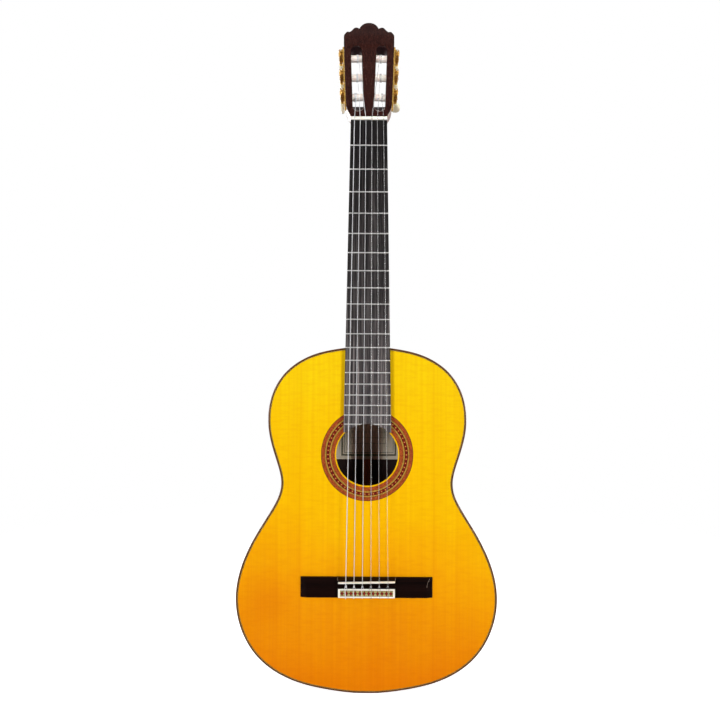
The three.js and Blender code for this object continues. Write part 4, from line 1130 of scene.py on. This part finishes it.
FRET_CROWN = [  # z from the fret's line, y from the board
    (-0.86, 0.12), (-0.82, -0.28), (-0.7, -0.62), (-0.5, -0.87), (-0.26, -1.03), (0, -1.08),
    (0.26, -1.03), (0.5, -0.87), (0.7, -0.62), (0.82, -0.28), (0.86, 0.12),
]
FRET_END = [(0, 0.35), (0.12, 0.7), (0.45, 0.93), (1.0, 1.0)]  # x from the tip, share of height


def fret_z(k):
    return NUT_Z - SCALE * (1 - 2 ** (-k / 12))


def fret(name, z, x0, x1, arc_cut=False):
    """Fret wire; arc_cut trims it along the sound hole, and leaves out the tang."""
    stations = [(x0 + dx, k) for dx, k in FRET_END]
    if arc_cut:
        stations += [(x, 1.0) for x in np.linspace(x0 + 1.6, x1 - 1.6, 14)]
    stations += [(x1 - dx, k) for dx, k in FRET_END[::-1]]
    sections = []
    for x, k in stations:
        low = -9.0
        if arc_cut:
            hole_edge = HOLE_Z + math.sqrt(max(0.0, (HOLE_R + 0.15) ** 2 - x * x))
            low = min(0.8, hole_edge - z)
        sections.append(np.array([
            (x, BOARD_Y + (dy * k if dy < 0 else dy), z + max(dz * (0.8 + 0.2 * k), low + 0.004 * i))
            for i, (dz, dy) in enumerate(FRET_CROWN)
        ]))
    solid = loft(sections)
    if not arc_cut:
        tang_x, tang_y = (x0 + 0.3, x1 - 0.3), (BOARD_Y, BOARD_Y + 1.8)
        solid = merge(solid, bevel_box(tang_x, tang_y, (z - 0.25, z + 0.25), 0.05, 1))
    piece(f"{name}_wire", solid, "nickel_silver", "nickel_silver", name, angle=50)


for k in range(1, 19):
    half = board_half(fret_z(k)) - 0.35
    fret(f"fret_{k:02d}", fret_z(k), -half, half)
half = board_half(fret_z(19)) - 0.35
fret("fret_19_bass", fret_z(19), -half, -7.2, arc_cut=True)
fret("fret_19_treble", fret_z(19), 7.2, half, arc_cut=True)

# ---------------------------------------------------------------- nut and saddle
NUT_PROFILE = [  # z above the nut's lower face, y of its crest
    (0.0, -56.6), (0.5, -57.0), (1.2, -57.2), (2.4, -57.15),
    (3.4, -56.85), (4.3, -56.3), (4.8, -55.7), (5.0, -55.2),
]
GROOVE_GAP = 0.12


def nut_top(x, z, y):
    """crest y, lowered into a groove under each string"""
    for string in STRINGS:
        r, d = string.radius, abs(x - string.nut_x)
        if d < r + GROOVE_GAP:
            floor = STRING_NUT_Y + r * math.sqrt(1 - (d / (r + GROOVE_GAP)) ** 2) + 0.06
            y = max(y, floor + max(0, z - 1.2) * 0.46)
    return y


xs = set(np.linspace(-NUT_W / 2, NUT_W / 2, 27).tolist())
for string in STRINGS:
    for k in (-1.25, -1.0, -0.8, -0.5, 0, 0.5, 0.8, 1.0, 1.25):
        xs.add(string.nut_x + k * (string.radius + GROOVE_GAP))
sections = []
for x in sorted(xs):
    crest = [(x, nut_top(x, z, y), NUT_Z + z) for z, y in NUT_PROFILE]
    sections.append(np.array([(x, TOP_Y, NUT_Z)] + crest + [(x, TOP_Y, NUT_Z + NUT_T)]))
piece("nut_bone", loft(sections), "bone", "bone", "nut", angle=40)

SADDLE_PROFILE = [  # z from the saddle's line, y
    (1.1, -52.5), (1.1, -59.4), (0.98, -59.9), (0.68, -60.27), (0.25, -60.44),
    (-0.25, -60.46), (-0.68, -60.31), (-0.98, -59.95), (-1.1, -59.5), (-1.1, -52.5),
]


def saddle_z(x):
    return 156.95 + x / 40 * 0.75


sections = []
for x in np.linspace(-39.5, 39.5, 41):
    k = 1 - 0.15 * max(0, (abs(x) - 38.4)) / 1.1
    sections.append(np.array([(x, y, saddle_z(x) + dz * k) for dz, y in SADDLE_PROFILE]))
piece("saddle_bone", loft(sections), "bone", "bone", "saddle", angle=40)

# ---------------------------------------------------------------- bridge
WING_XS = [BLOCK_HALF - 0.3, 44, 52, 60, 68, 76, 80, 82, 83.5, 84.5, 85.5, 86.5, 87.5, 88.5,
           89.5, 90.5, 91.3, 91.9, 92.3, BRIDGE_HALF]
WING_PROFILE = [  # z above the bridge's lower edge, drop below the wing's height (None: the foot)
    (0.0, None), (0.0, 1.0), (0.25, 0.45), (0.9, 0.12), (2.2, 0.0), (6, -0.2), (10, -0.28),
    (14, -0.3), (17.5, -0.28), (20.5, -0.2), (23.5, -0.1), (26.3, 0.0), (27.7, 0.12),
    (28.4, 0.45), (28.7, 1.0), (28.7, None),
]
CENTRE_PROFILE = [  # y, z
    (TOP_Y - 0.01, BRIDGE_Z0 + 0.7), (TIE_Y + 1, TIE_Z0 - 0.6), (TIE_Y, TIE_Z0),
    (TIE_Y, TIE_Z1), (-51.6, TIE_Z1), (-51.6, 151.7), (-52.2, 152.7), (-57.0, 153.7),
    (-57.4, 154.2), (-57.4, 159.2), (-57.0, 159.8), (-53.6, 161.2), (-52.6, 161.7),
    (TOP_Y - 0.01, BRIDGE_Z1),
]


def scoop_start(q):
    """x where the scooped end begins, at share q of the bridge's depth"""
    return 84.6 + 5.2 * max(0.0, (q - 0.55) / 0.45) ** 1.6


def wing_height(x):
    return 3.75 - 0.0045 * (x - 40)


def wing(s):
    """low wing: rounded edges, and an end scooped down along a curved line"""
    sections = []
    for x in WING_XS:
        end = 0.25 * max(0.0, (x - 91.6) / 0.9) ** 2
        section = []
        for dz, drop in WING_PROFILE:
            q = dz / BRIDGE_DEPTH
            y = TOP_Y - 0.01
            if drop is not None:
                height = wing_height(x) - 0.27 * max(0.0, x - scoop_start(q))
                y = TOP_Y - max(height - drop - end * 1.6, 0.9)
            section.append((s * x, y, BRIDGE_Z0 + dz + end * (1 - 2 * q)))
        sections.append(np.array(section))
    return loft(sections)


bridge = piece("bridge_centre", flat_plate([CENTRE_PROFILE], -BLOCK_HALF, BLOCK_HALF, 0.3, YZ_X),
               "bridge_rosewood", "bridge_rosewood", "bridge")
cuts = [turned("z", [(TIE_Z0 - 3, 0.95), (TIE_Z1 + 2.5, 0.95)], 16, (string.saddle_x, STRING_HOLE_Y))
        for string in STRINGS]
saddle_slot = ((-70, -1.15), (-52.45, -1.15), (-52.45, 1.15), (-70, 1.15))
cuts.append(loft([[(x, y, saddle_z(x) + dz) for y, dz in saddle_slot] for x in (-39.7, 39.7)]))
boolean(bridge, cuts)
for s, side in SIDES[::-1]:
    piece(f"bridge_wing_{side}", wing(s), "bridge_rosewood", "bridge_rosewood", angle=28)

# pale painted highlights along the corners of the ridge, and along the treble wing's scooped end
RIDGE_CORNER = [(-0.55, -57.35, 158.9), (-0.2, -56.9, 159.9), (0.1, -53.9, 161.2), (0.2, -52.2, 161.9)]
edges = [tube([(s * (BLOCK_HALF + dx), y, z) for dx, y, z in RIDGE_CORNER], 0.26, 8)
         for s, _ in SIDES]
scoop = []
for k in range(13):
    q = 0.5 + 0.46 * k / 12
    x = scoop_start(q)
    scoop.append((x, TOP_Y - wing_height(x) - 0.12, BRIDGE_Z0 + BRIDGE_DEPTH * q))
edges.append(tube(scoop, 0.2, 6))
piece("bridge_painted_highlights", merge(*edges), "polished_edge", "bridge_rosewood", angle=60)

# tie block: bone frame round a mosaic strip
FRAME_HALF, BAR_W, BAR_END_W = 39.5, 2.1, 2.6
bars = [bevel_box((-FRAME_HALF, FRAME_HALF), (LID_Y, TIE_Y + 0.3), z_span, 0.18, 2)
        for z_span in ((TIE_Z0, TIE_Z0 + BAR_W), (TIE_Z1 - BAR_W, TIE_Z1))]
bars += [bevel_box(x_span, (LID_Y + 0.001, TIE_Y + 0.3), (TIE_Z0 + 1.9, TIE_Z1 - 1.9), 0.18, 2)
         for x_span in ((-FRAME_HALF, -FRAME_HALF + BAR_END_W), (FRAME_HALF - BAR_END_W, FRAME_HALF))]
piece("tie_block_bone_frame", merge(*bars), "bone", "bone", "tie_block_inlay")


def tie_motif(u, w):
    """Material of a tile: a dark-edged lozenge on green; u 0..1 along, w -1..1 across."""
    q = abs(u - 0.5) * 2 / 0.6 + abs(w) / 0.66
    if q < 0.95:
        return 0
    if q < 1.28 or abs(w) < 0.09 or abs(w) > 0.93:
        return 1
    return 3


def tie_mosaic(nx=156, nz=15, per=13):
    x0, x1 = -FRAME_HALF + 2.5, FRAME_HALF - 2.5
    z0, z1 = TIE_Z0 + 2.0, TIE_Z1 - 2.0
    row = nz + 1
    base = (nx + 1) * row
    verts = [(x0 + (x1 - x0) * i / nx, LID_Y + 0.06, z0 + (z1 - z0) * k / nz)
             for i in range(nx + 1) for k in range(row)]
    verts += [(x, TIE_Y + 0.2, z) for x, z in ((x0, z0), (x0, z1), (x1, z1), (x1, z0))]
    faces, tiles = [], []
    for i in range(nx):
        for k in range(nz):
            a = i * row + k
            faces.append((a, a + 1, a + row + 1, a + row))
            tiles.append(tie_motif(((i % per) + 0.5) / per, (k + 0.5) / nz * 2 - 1))
    faces += [
        (base, base + 1, base + 2, base + 3),
        (*range(row), base + 1, base),
        (base + 2, base + 3, *range(nx * row, base)),
        (*range(0, base, row), base + 3, base),
        (*range(nz, base, row), base + 2, base + 1),
    ]
    piece("tie_block_mosaic", (verts, faces), ["tile_wine", "tile_black", "tile_pale", "tile_green"],
          "mosaic", face_materials=tiles + [3] * 5, smooth=False)


tie_mosaic()


# ---------------------------------------------------------------- strings
def string_look(string):
    """material and slot"""
    return ("wound_string", "wound_bass") if string.wound else ("clear_nylon", "nylon")


def side_sign(string):
    return 1 if string.nut_x > 0 else -1


def coil_start(string):
    """x of the first turn in the side frame"""
    return side_sign(string) * (string.roller_x - SIDE_X)


def string_line(string):
    """Tie loop, run over saddle and nut, and coil on the roller."""
    r, x, s = string.radius, string.saddle_x, side_sign(string)
    m = r + 0.2
    saddle_y, z = SADDLE_TOP_Y - r - 0.04, saddle_z(x)
    tie = smooth_path([
        (x + 0.5 * s, -57.3, TIE_Z1 + 3.9), (x + 0.8 * s, -57.9, TIE_Z1 + 2.8),
        (x + 1.2 * s, LID_Y - 0.35, TIE_Z1 + m + 0.7),
        (x + 1.3 * s, LID_Y - 0.72 * m, TIE_Z1 + 0.72 * m),
        (x + 1.2 * s, LID_Y - m, TIE_Z1 - 0.2), (x + 0.75 * s, LID_Y - m, TIE_MID),
        (x + 0.4 * s, LID_Y - m, TIE_Z0 + 0.2),
        (x + 0.3 * s, LID_Y - 0.72 * m, TIE_Z0 - 0.72 * m),
        (x + 0.2 * s, LID_Y, TIE_Z0 - m * 1.05), (x + 0.05 * s, TIE_Y + 0.6, TIE_Z0 - 0.6 - m),
        (x, STRING_HOLE_Y - 1.3, TIE_Z0 - 0.7 - m),
        (x, STRING_HOLE_Y - 0.35, TIE_Z0 - 0.6 - 0.6 * m),
        (x, STRING_HOLE_Y, TIE_Z0 + 0.6), (x, STRING_HOLE_Y, TIE_Z1 - 0.4),
    ], 4)
    rise = [(x, STRING_HOLE_Y - 0.35, TIE_Z1 + 0.5), (x, saddle_y + 0.6, z - 1.3),
            (x, saddle_y + 0.15, z - 0.6), (x, saddle_y, z)]
    start = np.array([x, saddle_y, z + 0.6])
    span = np.array([string.nut_x, STRING_NUT_Y, NUT_Z + 0.6]) - start
    run = [start + span * t for t in np.linspace(0, 1, 24)]
    over_nut = [(string.nut_x, STRING_NUT_Y + 0.02, NUT_Z + 1.1)]
    steps, pitch = 32, 2 * r + COIL_GAP
    wrap_r = ROLLER_R + 0.2 + r
    coil = []
    for k in range(int(steps * COIL_TURNS) + 1):
        a = 2 * math.pi * k / steps
        coil.append((coil_start(string) + s * pitch * k / steps, -wrap_r * math.cos(a),
                     ROLLER_ZS[string.roller] + wrap_r * math.sin(a)))
    return tube(np.vstack([tie, rise, run, over_nut, move(coil, side_frame(s))]), r, 12)


def string_knot(string):
    """A turn and a quarter beside the string's line, and a short tail lying back on the block."""
    r, x, s = string.radius, string.saddle_x, side_sign(string)
    knot_r = r * 2 + 0.1
    knot = []
    for k in range(21):
        a = 2 * math.pi * k / 16
        knot.append((x + knot_r * math.cos(a), -57.0 - 0.25 * k / 20 + knot_r * math.sin(a),
                     TIE_Z1 + 4.0 - (2 * r + 0.2) * k / 20))
    tail = [(x - 0.9 * s, -58.0, TIE_Z1 + 2.2), (x - 1.5 * s, LID_Y - 0.5, TIE_Z1 + r + 0.55),
            (x - 1.9 * s, LID_Y - r - 0.2, TIE_Z1 - 0.9)]
    return tube(np.vstack([knot, smooth_path([knot[-1]] + tail, 5)]), r * 0.92, 8)


for string in STRINGS:
    name = f"string_{string.number}"
    piece(f"{name}_line", string_line(string), *string_look(string), name, angle=60)
    piece(f"{name}_knot", string_knot(string), *string_look(string), angle=60)

# ---------------------------------------------------------------- tuners
WORM_TIP, WORM_FOOT, WORM_L = 3.42, 2.2, 8.4
GEAR_HALF = 1.8  # half thickness of the wheel
PLATE_CORNER = [  # quarter of the side plate's outline (y, z), from its end
    (0, 56.5), (1.0, 56.3), (1.9, 55.8), (2.5, 54.9), (2.7, 53.9), (3.2, 53.1), (4.1, 52.8),
    (5.2, 52.6), (6.3, 52.0), (7.0, 51.0), (7.3, 49.6), (7.4, 47.5),
]


def gear_ring(x, twist):
    tip, foot, half = GEAR_R + 0.5, GEAR_R - 0.85, TOOTH_W * 0.5
    flank = [(foot, half + 0.38), (foot + 0.25, half + 0.26), (tip - 0.2, half - 0.24),
             (tip, half - 0.36)]
    tooth = [(r, -w) for r, w in flank] + flank[::-1]
    out = []
    for i in range(TEETH):
        for r, w in tooth:
            a = math.pi / TEETH + twist + i * 2 * math.pi / TEETH + w / r
            out.append((x, -r * math.sin(a), r * math.cos(a)))
    return np.array(out)


def worm_thread(n=48, rows=96):
    """screw ridge: radius by angle and place along the shaft"""
    flat, root = (TOOTH_W * 0.5 - 0.3) / LEAD, (TOOTH_W * 0.5 + 0.3) / LEAD
    rings = []
    for k in range(rows + 1):
        y = -WORM_L / 2 + WORM_L * k / rows
        fade = min(1.0, min(y + WORM_L / 2, WORM_L / 2 - y) / 0.5)
        ring = []
        for i in range(n):
            a = 2 * math.pi * i / n
            phase = (y / LEAD + a / (2 * math.pi)) % 1
            phase = min(phase, 1 - phase)
            h = 1 - min(1, max(0, (phase - flat) / (root - flat)))
            h = h * h * (3 - 2 * h)
            r = WORM_FOOT + (WORM_TIP - 0.03 - WORM_FOOT) * h * fade
            ring.append((r * math.sin(a), y, -r * math.cos(a)))
        rings.append(np.array(ring))
    return loft(rings)


def button(turn):
    """paddle: stout where it takes the shaft, thinner and rounded at the tip"""
    edge = [(1.0, 0.66), (0.95, 0.8), (0.83, 0.9), (0.62, 0.96), (0.27, 1.0)]  # height, width
    sections = []
    for t, k in [(-t, k) for t, k in edge] + edge[::-1]:
        ring = []
        for i in range(64):
            a = 2 * math.pi * i / 64
            c, q = math.cos(a), math.sin(a)
            w = 8.5 * math.copysign(abs(c) ** 0.85, c)
            h = 10.3 * math.copysign(abs(q) ** 0.85, q)
            if h < 0:  # shoulders draw in to the shaft
                w *= 1 - 0.5 * (abs(h) / 10.3) ** 1.5
            thick = 3.0 - 0.95 * max(0.0, (h + 2) / 12.3) - (0.1 if h < -8 else 0)
            ring.append((w * k, 30.0 + h * (0.5 + 0.5 * k), t * thick))
        sections.append(np.array(ring))
    return placed(loft(sections), turn_y(turn))


def slotted_head(x0, x1, r, z=0, n=28):
    """domed screw head along x, its driver slot left between two half domes"""
    height = x1 - x0
    parts = []
    for side in (1, -1):
        sections = []
        for t, k in ((0, 1.0), (0.35, 1.0), (0.7, 0.9), (0.92, 0.7), (1.0, 0.5)):
            turns = [math.pi * i / (n - 1) for i in range(n)]
            sections.append(np.array([
                (x0 + height * t, side * max(0.16 * r, r * k * math.sin(a)), z + r * k * math.cos(a))
                for a in turns
            ]))
        parts.append(loft(sections))
    parts.append(turned("x", [(x0, r * 0.98), (x0 + height * 0.35, r * 0.98)], n, (0, z)))
    return merge(*parts)


def tuner_plate(s, side):
    place = side_frame(s)
    half = PLATE_CORNER + [(y, -z) for y, z in PLATE_CORNER[::-1]]
    outline = half + [(-y, z) for y, z in half[1:-1][::-1]]
    solid = flat_plate([outline], 0.06, 2.1, 0.22, axes_matrix((0, 1, 0), (0, 0, 1), (s, 0, 0)))
    plate = piece(f"tuner_plate_{side}", solid, "gold_plate", "gold_plate", f"side_plate_{side}",
                  matrix=place)
    bores = [turned("x", [(0.0, 2.8), (s * 3.0, 2.8)], 24, (0, z)) for z in ROLLER_ZS]
    boolean(plate, [placed(bore, place) for bore in bores])

    lugs, curls = [], []
    for roller_z in ROLLER_ZS:
        z = roller_z + WORM_GAP
        for y0, y1 in ((-7.2, -5.0), (5.0, 7.2)):
            # bored ring on a tapering foot
            steps = ((y0, 1.95), (y0, 2.55), (y0 + 0.25, 2.85), (y1 - 0.25, 2.85), (y1, 2.55),
                     (y1, 1.95))
            rings = [circle("y", y, r, 28, (s * GEAR_OUT, z)) for y, r in steps]
            lugs.append(loft(rings, closed=True))
            foot = [(1.2, -2.75), (1.2, 2.75), (GEAR_OUT - 1.4, 2.1), (GEAR_OUT - 1.4, -2.1)]
            lugs.append(loft([[(s * a, y, z + b) for a, b in foot] for y in (y0 + 0.12, y1 - 0.12)]))
        for sign in (1, -1):
            curl = []
            for k in range(30):
                a, r = k / 29 * 2.3 * math.pi, 2.7 * (1 - k / 34)
                y = sign * (3.4 - r * math.cos(a))
                curl.append((s * 2.1, y, roller_z - 12.5 + r * math.sin(a)))
            curls.append(tube(curl, 0.2, 6))
    screws = [slotted_head(s * 2.05, s * 2.95, 1.7, z) for z in (-50.18, 47.7675)]
    piece(f"tuner_lugs_{side}", merge(*lugs), "lug_gold", "gold_plate", matrix=place, angle=40)
    piece(f"tuner_engraving_{side}", merge(*curls), "brass_gear", "gold_plate", matrix=place,
          angle=60)
    piece(f"tuner_plate_screws_{side}", merge(*screws), "screw_steel", "gold_plate", matrix=place,
          angle=40)


def gear_wheel(s):
    slant = GEAR_HALF * LEAD / (2 * math.pi * WORM_R) / GEAR_R  # teeth lean with the worm
    rings = [gear_ring(s * GEAR_OUT + q * GEAR_HALF, q * slant) for q in (-1, -0.86, 0.86, 1)]
    for i in (0, 3):
        rings[i][:, 1:] *= 0.965
    n = len(rings[0])
    disc_x, disc_half = s * GEAR_OUT, GEAR_HALF - 0.02
    face_x = GEAR_OUT + GEAR_HALF
    hub = [(-0.1, 4.9), (0.2, 4.9), (0.5, 4.6), (0.7, 4.0), (0.75, 3.0), (0.75, 0.5)]
    boss = [(s * 1.6, 4.4), (s * 2.3, 4.6), (s * (GEAR_OUT - GEAR_HALF + 0.1), 4.6)]
    return merge(
        loft(rings, caps=False),
        turned("x", [(disc_x - disc_half, 5.4), (disc_x + disc_half, 5.4)], 56),
        turned("x", [(s * (face_x + dx), r) for dx, r in hub], 36),
        turned("x", boss, 36),
        (rings[0], [tuple(range(n))[::-1]]),
        (rings[3], [tuple(range(n))]),
    )


def roller(string, place):
    s, body = side_sign(string), f"roller_{string.number}"
    sleeve = [(-30.6, 4.3), (-30.5, 4.7), (-30.1, ROLLER_R - 0.02), (-0.9, ROLLER_R - 0.02),
              (-0.5, 4.8), (-0.4, 4.4)]
    part = piece(f"{body}_sleeve", turned("x", [(s * x, r) for x, r in sleeve], 48),
                 "roller_cream", "roller_plastic", body, body=body, matrix=place)
    end_x = coil_start(string) + s * (2 * string.radius + COIL_GAP) * COIL_TURNS
    boolean(part, [placed(turned("y", [(-7, 0.8), (7, 0.8)], 14, (end_x, 0)), place)])
    core = merge(turned("x", [(s * -0.45, 2.4), (s * 3.9, 2.4)], 28),
                 turned("x", [(s * -31.0, 2.0), (s * -30.5, 2.0)], 20))
    piece(f"{body}_core", core, "screw_steel", "gold_plate", body=body, matrix=place)
    piece(f"{body}_wheel", gear_wheel(s), "brass_gear", "gold_plate", body=body, matrix=place,
          angle=30)
    face_x = GEAR_OUT + GEAR_HALF
    piece(f"{body}_screw", slotted_head(s * (face_x + 0.7), s * (face_x + 1.5), 2.2),
          "screw_steel", "gold_plate", body=body, matrix=place, angle=40)
    # end of the string, tucked through the roller
    tail = [(end_x, -5.6, 0.0), (end_x, -4.5, 0.0), (end_x, 4.5, 0.0), (end_x + s * 0.1, 5.9, 0.1)]
    piece(f"{body}_string_end", tube(tail, string.radius, 8), *string_look(string), body=body,
          matrix=place, angle=60)


# steps along the worm's shaft: y, radius
WORM_SHAFT = [(-8.0, 0.9), (-7.9, 1.25), (-7.6, 1.5), (-WORM_L / 2, 1.5),
              (-WORM_L / 2 + 0.3, 1.5), (WORM_L / 2, 1.5), (15.0, 1.5), (18.6, 1.6), (22.5, 1.6)]
WORM_COLLAR = [(8.4, 1.5), (8.5, 2.1), (8.9, 2.4), (9.4, 2.1), (10.4, 2.0), (10.8, 1.6)]
BUTTON_COLLAR = [(17.4, 1.5), (17.6, 2.1), (18.1, 2.5), (18.7, 2.6), (19.6, 2.75), (20.6, 2.6)]
SHAFT_END = [(-8.9, 0.25), (-8.85, 0.6), (-8.6, 1.0), (-8.2, 1.3), (-7.7, 1.4), (-7.3, 1.4)]


def worm(string, place):
    body = f"worm_{string.number}"
    turnings = [turned("y", steps, 28) for steps in (WORM_SHAFT, WORM_COLLAR, BUTTON_COLLAR)]
    piece(f"{body}_shaft", merge(worm_thread(), *turnings), "gold_plate", "worm_gold", body,
          body=body, matrix=place, angle=34)
    # the shaft's end is pale steel, partly its own colour and partly a painted highlight standing in
    # for its glint
    piece(f"{body}_shaft_end", turned("y", SHAFT_END, 24), "screw_steel", "worm_gold", body=body,
          matrix=place, angle=60)
    piece(f"{body}_button", button(string.turn), "button_pearloid", "worm_gold", body=body,
          matrix=place, angle=60)


for s, side in SIDES:
    tuner_plate(s, side)
for string in STRINGS:
    s = side_sign(string)
    place = side_frame(s) @ shift(0, 0, ROLLER_ZS[string.roller])
    roller(string, place)
    worm(string, place @ shift(s * GEAR_OUT, 0, WORM_GAP))

# ---------------------------------------------------------------- frame pieces kept as they are
for name, material in (("top_bracing", "brace_spruce"), ("back_bracing", "back_strip"),
                       ("tail_block", "block_cedar")):
    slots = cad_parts[name].data.materials
    slots.clear()
    slots.append(MATERIALS[material])


# ---------------------------------------------------------------- floor
def studio_paper():
    """pale paper that melts into the bright background with distance"""
    g = new_graph("studio_paper")
    x, y, _ = g.split(g.coords())
    far = g.map_range(g.math("SQRT", x * x + y * y), span=(0.35, 1.3), to=(0.0, 1.0),
                      interpolation_type="SMOOTHSTEP")
    paper = g.signal("BsdfDiffuse", {"Color": (0.93, 0.93, 0.93, 1)})
    seen = g.signal("LightPath", output="Is Camera Ray")
    glow = g.signal("Emission", {"Color": (1, 1, 1, 1), "Strength": seen * 0.8})
    lit = g.signal("AddShader", {0: paper, 1: glow})
    g.finish(g.signal("MixShader", {0: far, 1: lit, 2: g.signal("BsdfTransparent")}))


studio_paper()
FLOOR_HALF, FLOOR_Z = 12, -0.0006
corners = [(x * FLOOR_HALF, y * FLOOR_HALF, FLOOR_Z) for x, y in ((-1, -1), (1, -1), (1, 1), (-1, 1))]
mesh = bpy.data.meshes.new("studio_floor")
mesh.from_pydata(corners, [], [(0, 1, 2, 3)])
mesh.materials.append(MATERIALS["studio_paper"])
floor = bpy.data.objects.new("studio_floor", mesh)
floor.visible_glossy = False
scene.collection.objects.link(floor)
floor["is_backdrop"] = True


# ---------------------------------------------------------------- world
def background(g, colour, strength):
    return g.signal("Background", {"Color": (*colour, 1), "Strength": strength})


def studio_world():
    world = bpy.data.worlds.new("studio")
    scene.world = world
    g = Graph(world, "OutputWorld")
    rays = g.node("LightPath").outputs
    white = background(g, (1, 1, 1), 1.0)
    ambient = background(g, (1.0, 0.99, 0.98), 0.13)
    # glossy surfaces see a dark room behind the camera, brighter to the sides and far end
    x, y, _ = g.split(g.signal("TexCoord", output="Generated"))
    front = g.map_range(y, span=(-0.75, 0.1), to=(0.02, 1.0), interpolation_type="SMOOTHSTEP")
    room = background(g, (1, 1, 1), front * (0.35 + abs(x) * 0.45))
    indirect = g.signal("MixShader", {0: rays["Is Glossy Ray"], 1: ambient, 2: room})
    direct = g.math("MAXIMUM", rays["Is Camera Ray"], rays["Is Transmission Ray"])
    g.finish(g.signal("MixShader", {0: direct, 1: indirect, 2: white}))


studio_world()


# ---------------------------------------------------------------- lights
def light(name, kind, location, target_z, power, glossy=True, **settings):
    """light aimed at a point on the z axis"""
    data = bpy.data.lights.new(name, kind)
    data.energy = power
    for key, value in settings.items():
        setattr(data, key, value)
    obj = bpy.data.objects.new(name, data)
    scene.collection.objects.link(obj)
    obj.location = location
    aim = Vector((0, 0, target_z)) - Vector(location)
    obj.rotation_euler = aim.to_track_quat("-Z", "Y").to_euler()
    obj.visible_glossy = glossy
    obj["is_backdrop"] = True


WHITE = (1, 1, 1)
AREA_LIGHTS = [  # name, location, target z, width and height, watts, colour, seen in gloss
    ("key_right", (1.45, -1.84, 0.66), 0.44, (0.5, 1.1), 26.2, (1.0, 0.99, 0.97), True),
    ("key_left", (-1.45, -1.84, 0.66), 0.44, (0.5, 1.1), 25.2, (0.99, 0.99, 1.0), True),
    ("top_soft", (0.0, -0.95, 2.3), 0.4, (2.0, 1.2), 8, WHITE, False),
    ("back_soft", (-1.5, 2.1, 1.3), 0.5, (1.2, 1.8), 40, WHITE, True),
    ("back_right", (1.9, 1.3, 0.9), 0.5, (0.9, 1.6), 22, WHITE, True),
]
for name, location, target_z, (width, height), power, colour, glossy in AREA_LIGHTS:
    light(name, "AREA", location, target_z, power, glossy,
          shape="RECTANGLE", size=width, size_y=height, color=colour)
# a narrow soft spot fills the headstock's slots
light("head_fill", "SPOT", (0.0, -1.7, 0.9), target_z=0.915, power=80, glossy=False,
      spot_size=math.radians(12), spot_blend=0.6, shadow_soft_size=0.2)

# ---------------------------------------------------------------- camera
CAMERA_AT = (-0.0101, -0.8876, 0.4423)
PITCH, ROLL, YAW = math.radians(1.651), math.radians(0.326), math.radians(-0.051)
camera_data = bpy.data.cameras.new("camera")
camera = bpy.data.objects.new("camera", camera_data)
scene.collection.objects.link(camera)
scene.camera = camera
camera_data.sensor_width = 36.0
camera_data.lens = 29.545
camera_data.clip_start, camera_data.clip_end = 0.02, 60
forward = np.array([math.sin(YAW) * math.cos(PITCH), math.cos(YAW) * math.cos(PITCH), math.sin(PITCH)])
level = np.array([math.cos(YAW), -math.sin(YAW), 0.0])
upright = np.cross(level, forward)
right = level * math.cos(ROLL) + upright * math.sin(ROLL)
up = -level * math.sin(ROLL) + upright * math.cos(ROLL)
rows = np.column_stack([right, up, -forward, CAMERA_AT]).tolist()
camera.matrix_world = Matrix(rows + [[0, 0, 0, 1]])
camera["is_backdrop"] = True

# ---------------------------------------------------------------- sizes
bpy.context.view_layer.update()
lows, highs = [], []
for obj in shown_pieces():
    if obj.type == "MESH" and len(obj.data.vertices):
        points = np.empty(len(obj.data.vertices) * 3)
        obj.data.vertices.foreach_get("co", points)
        points = move(points.reshape(-1, 3), np.array(obj.matrix_world))
        lows.append(points.min(0))
        highs.append(points.max(0))
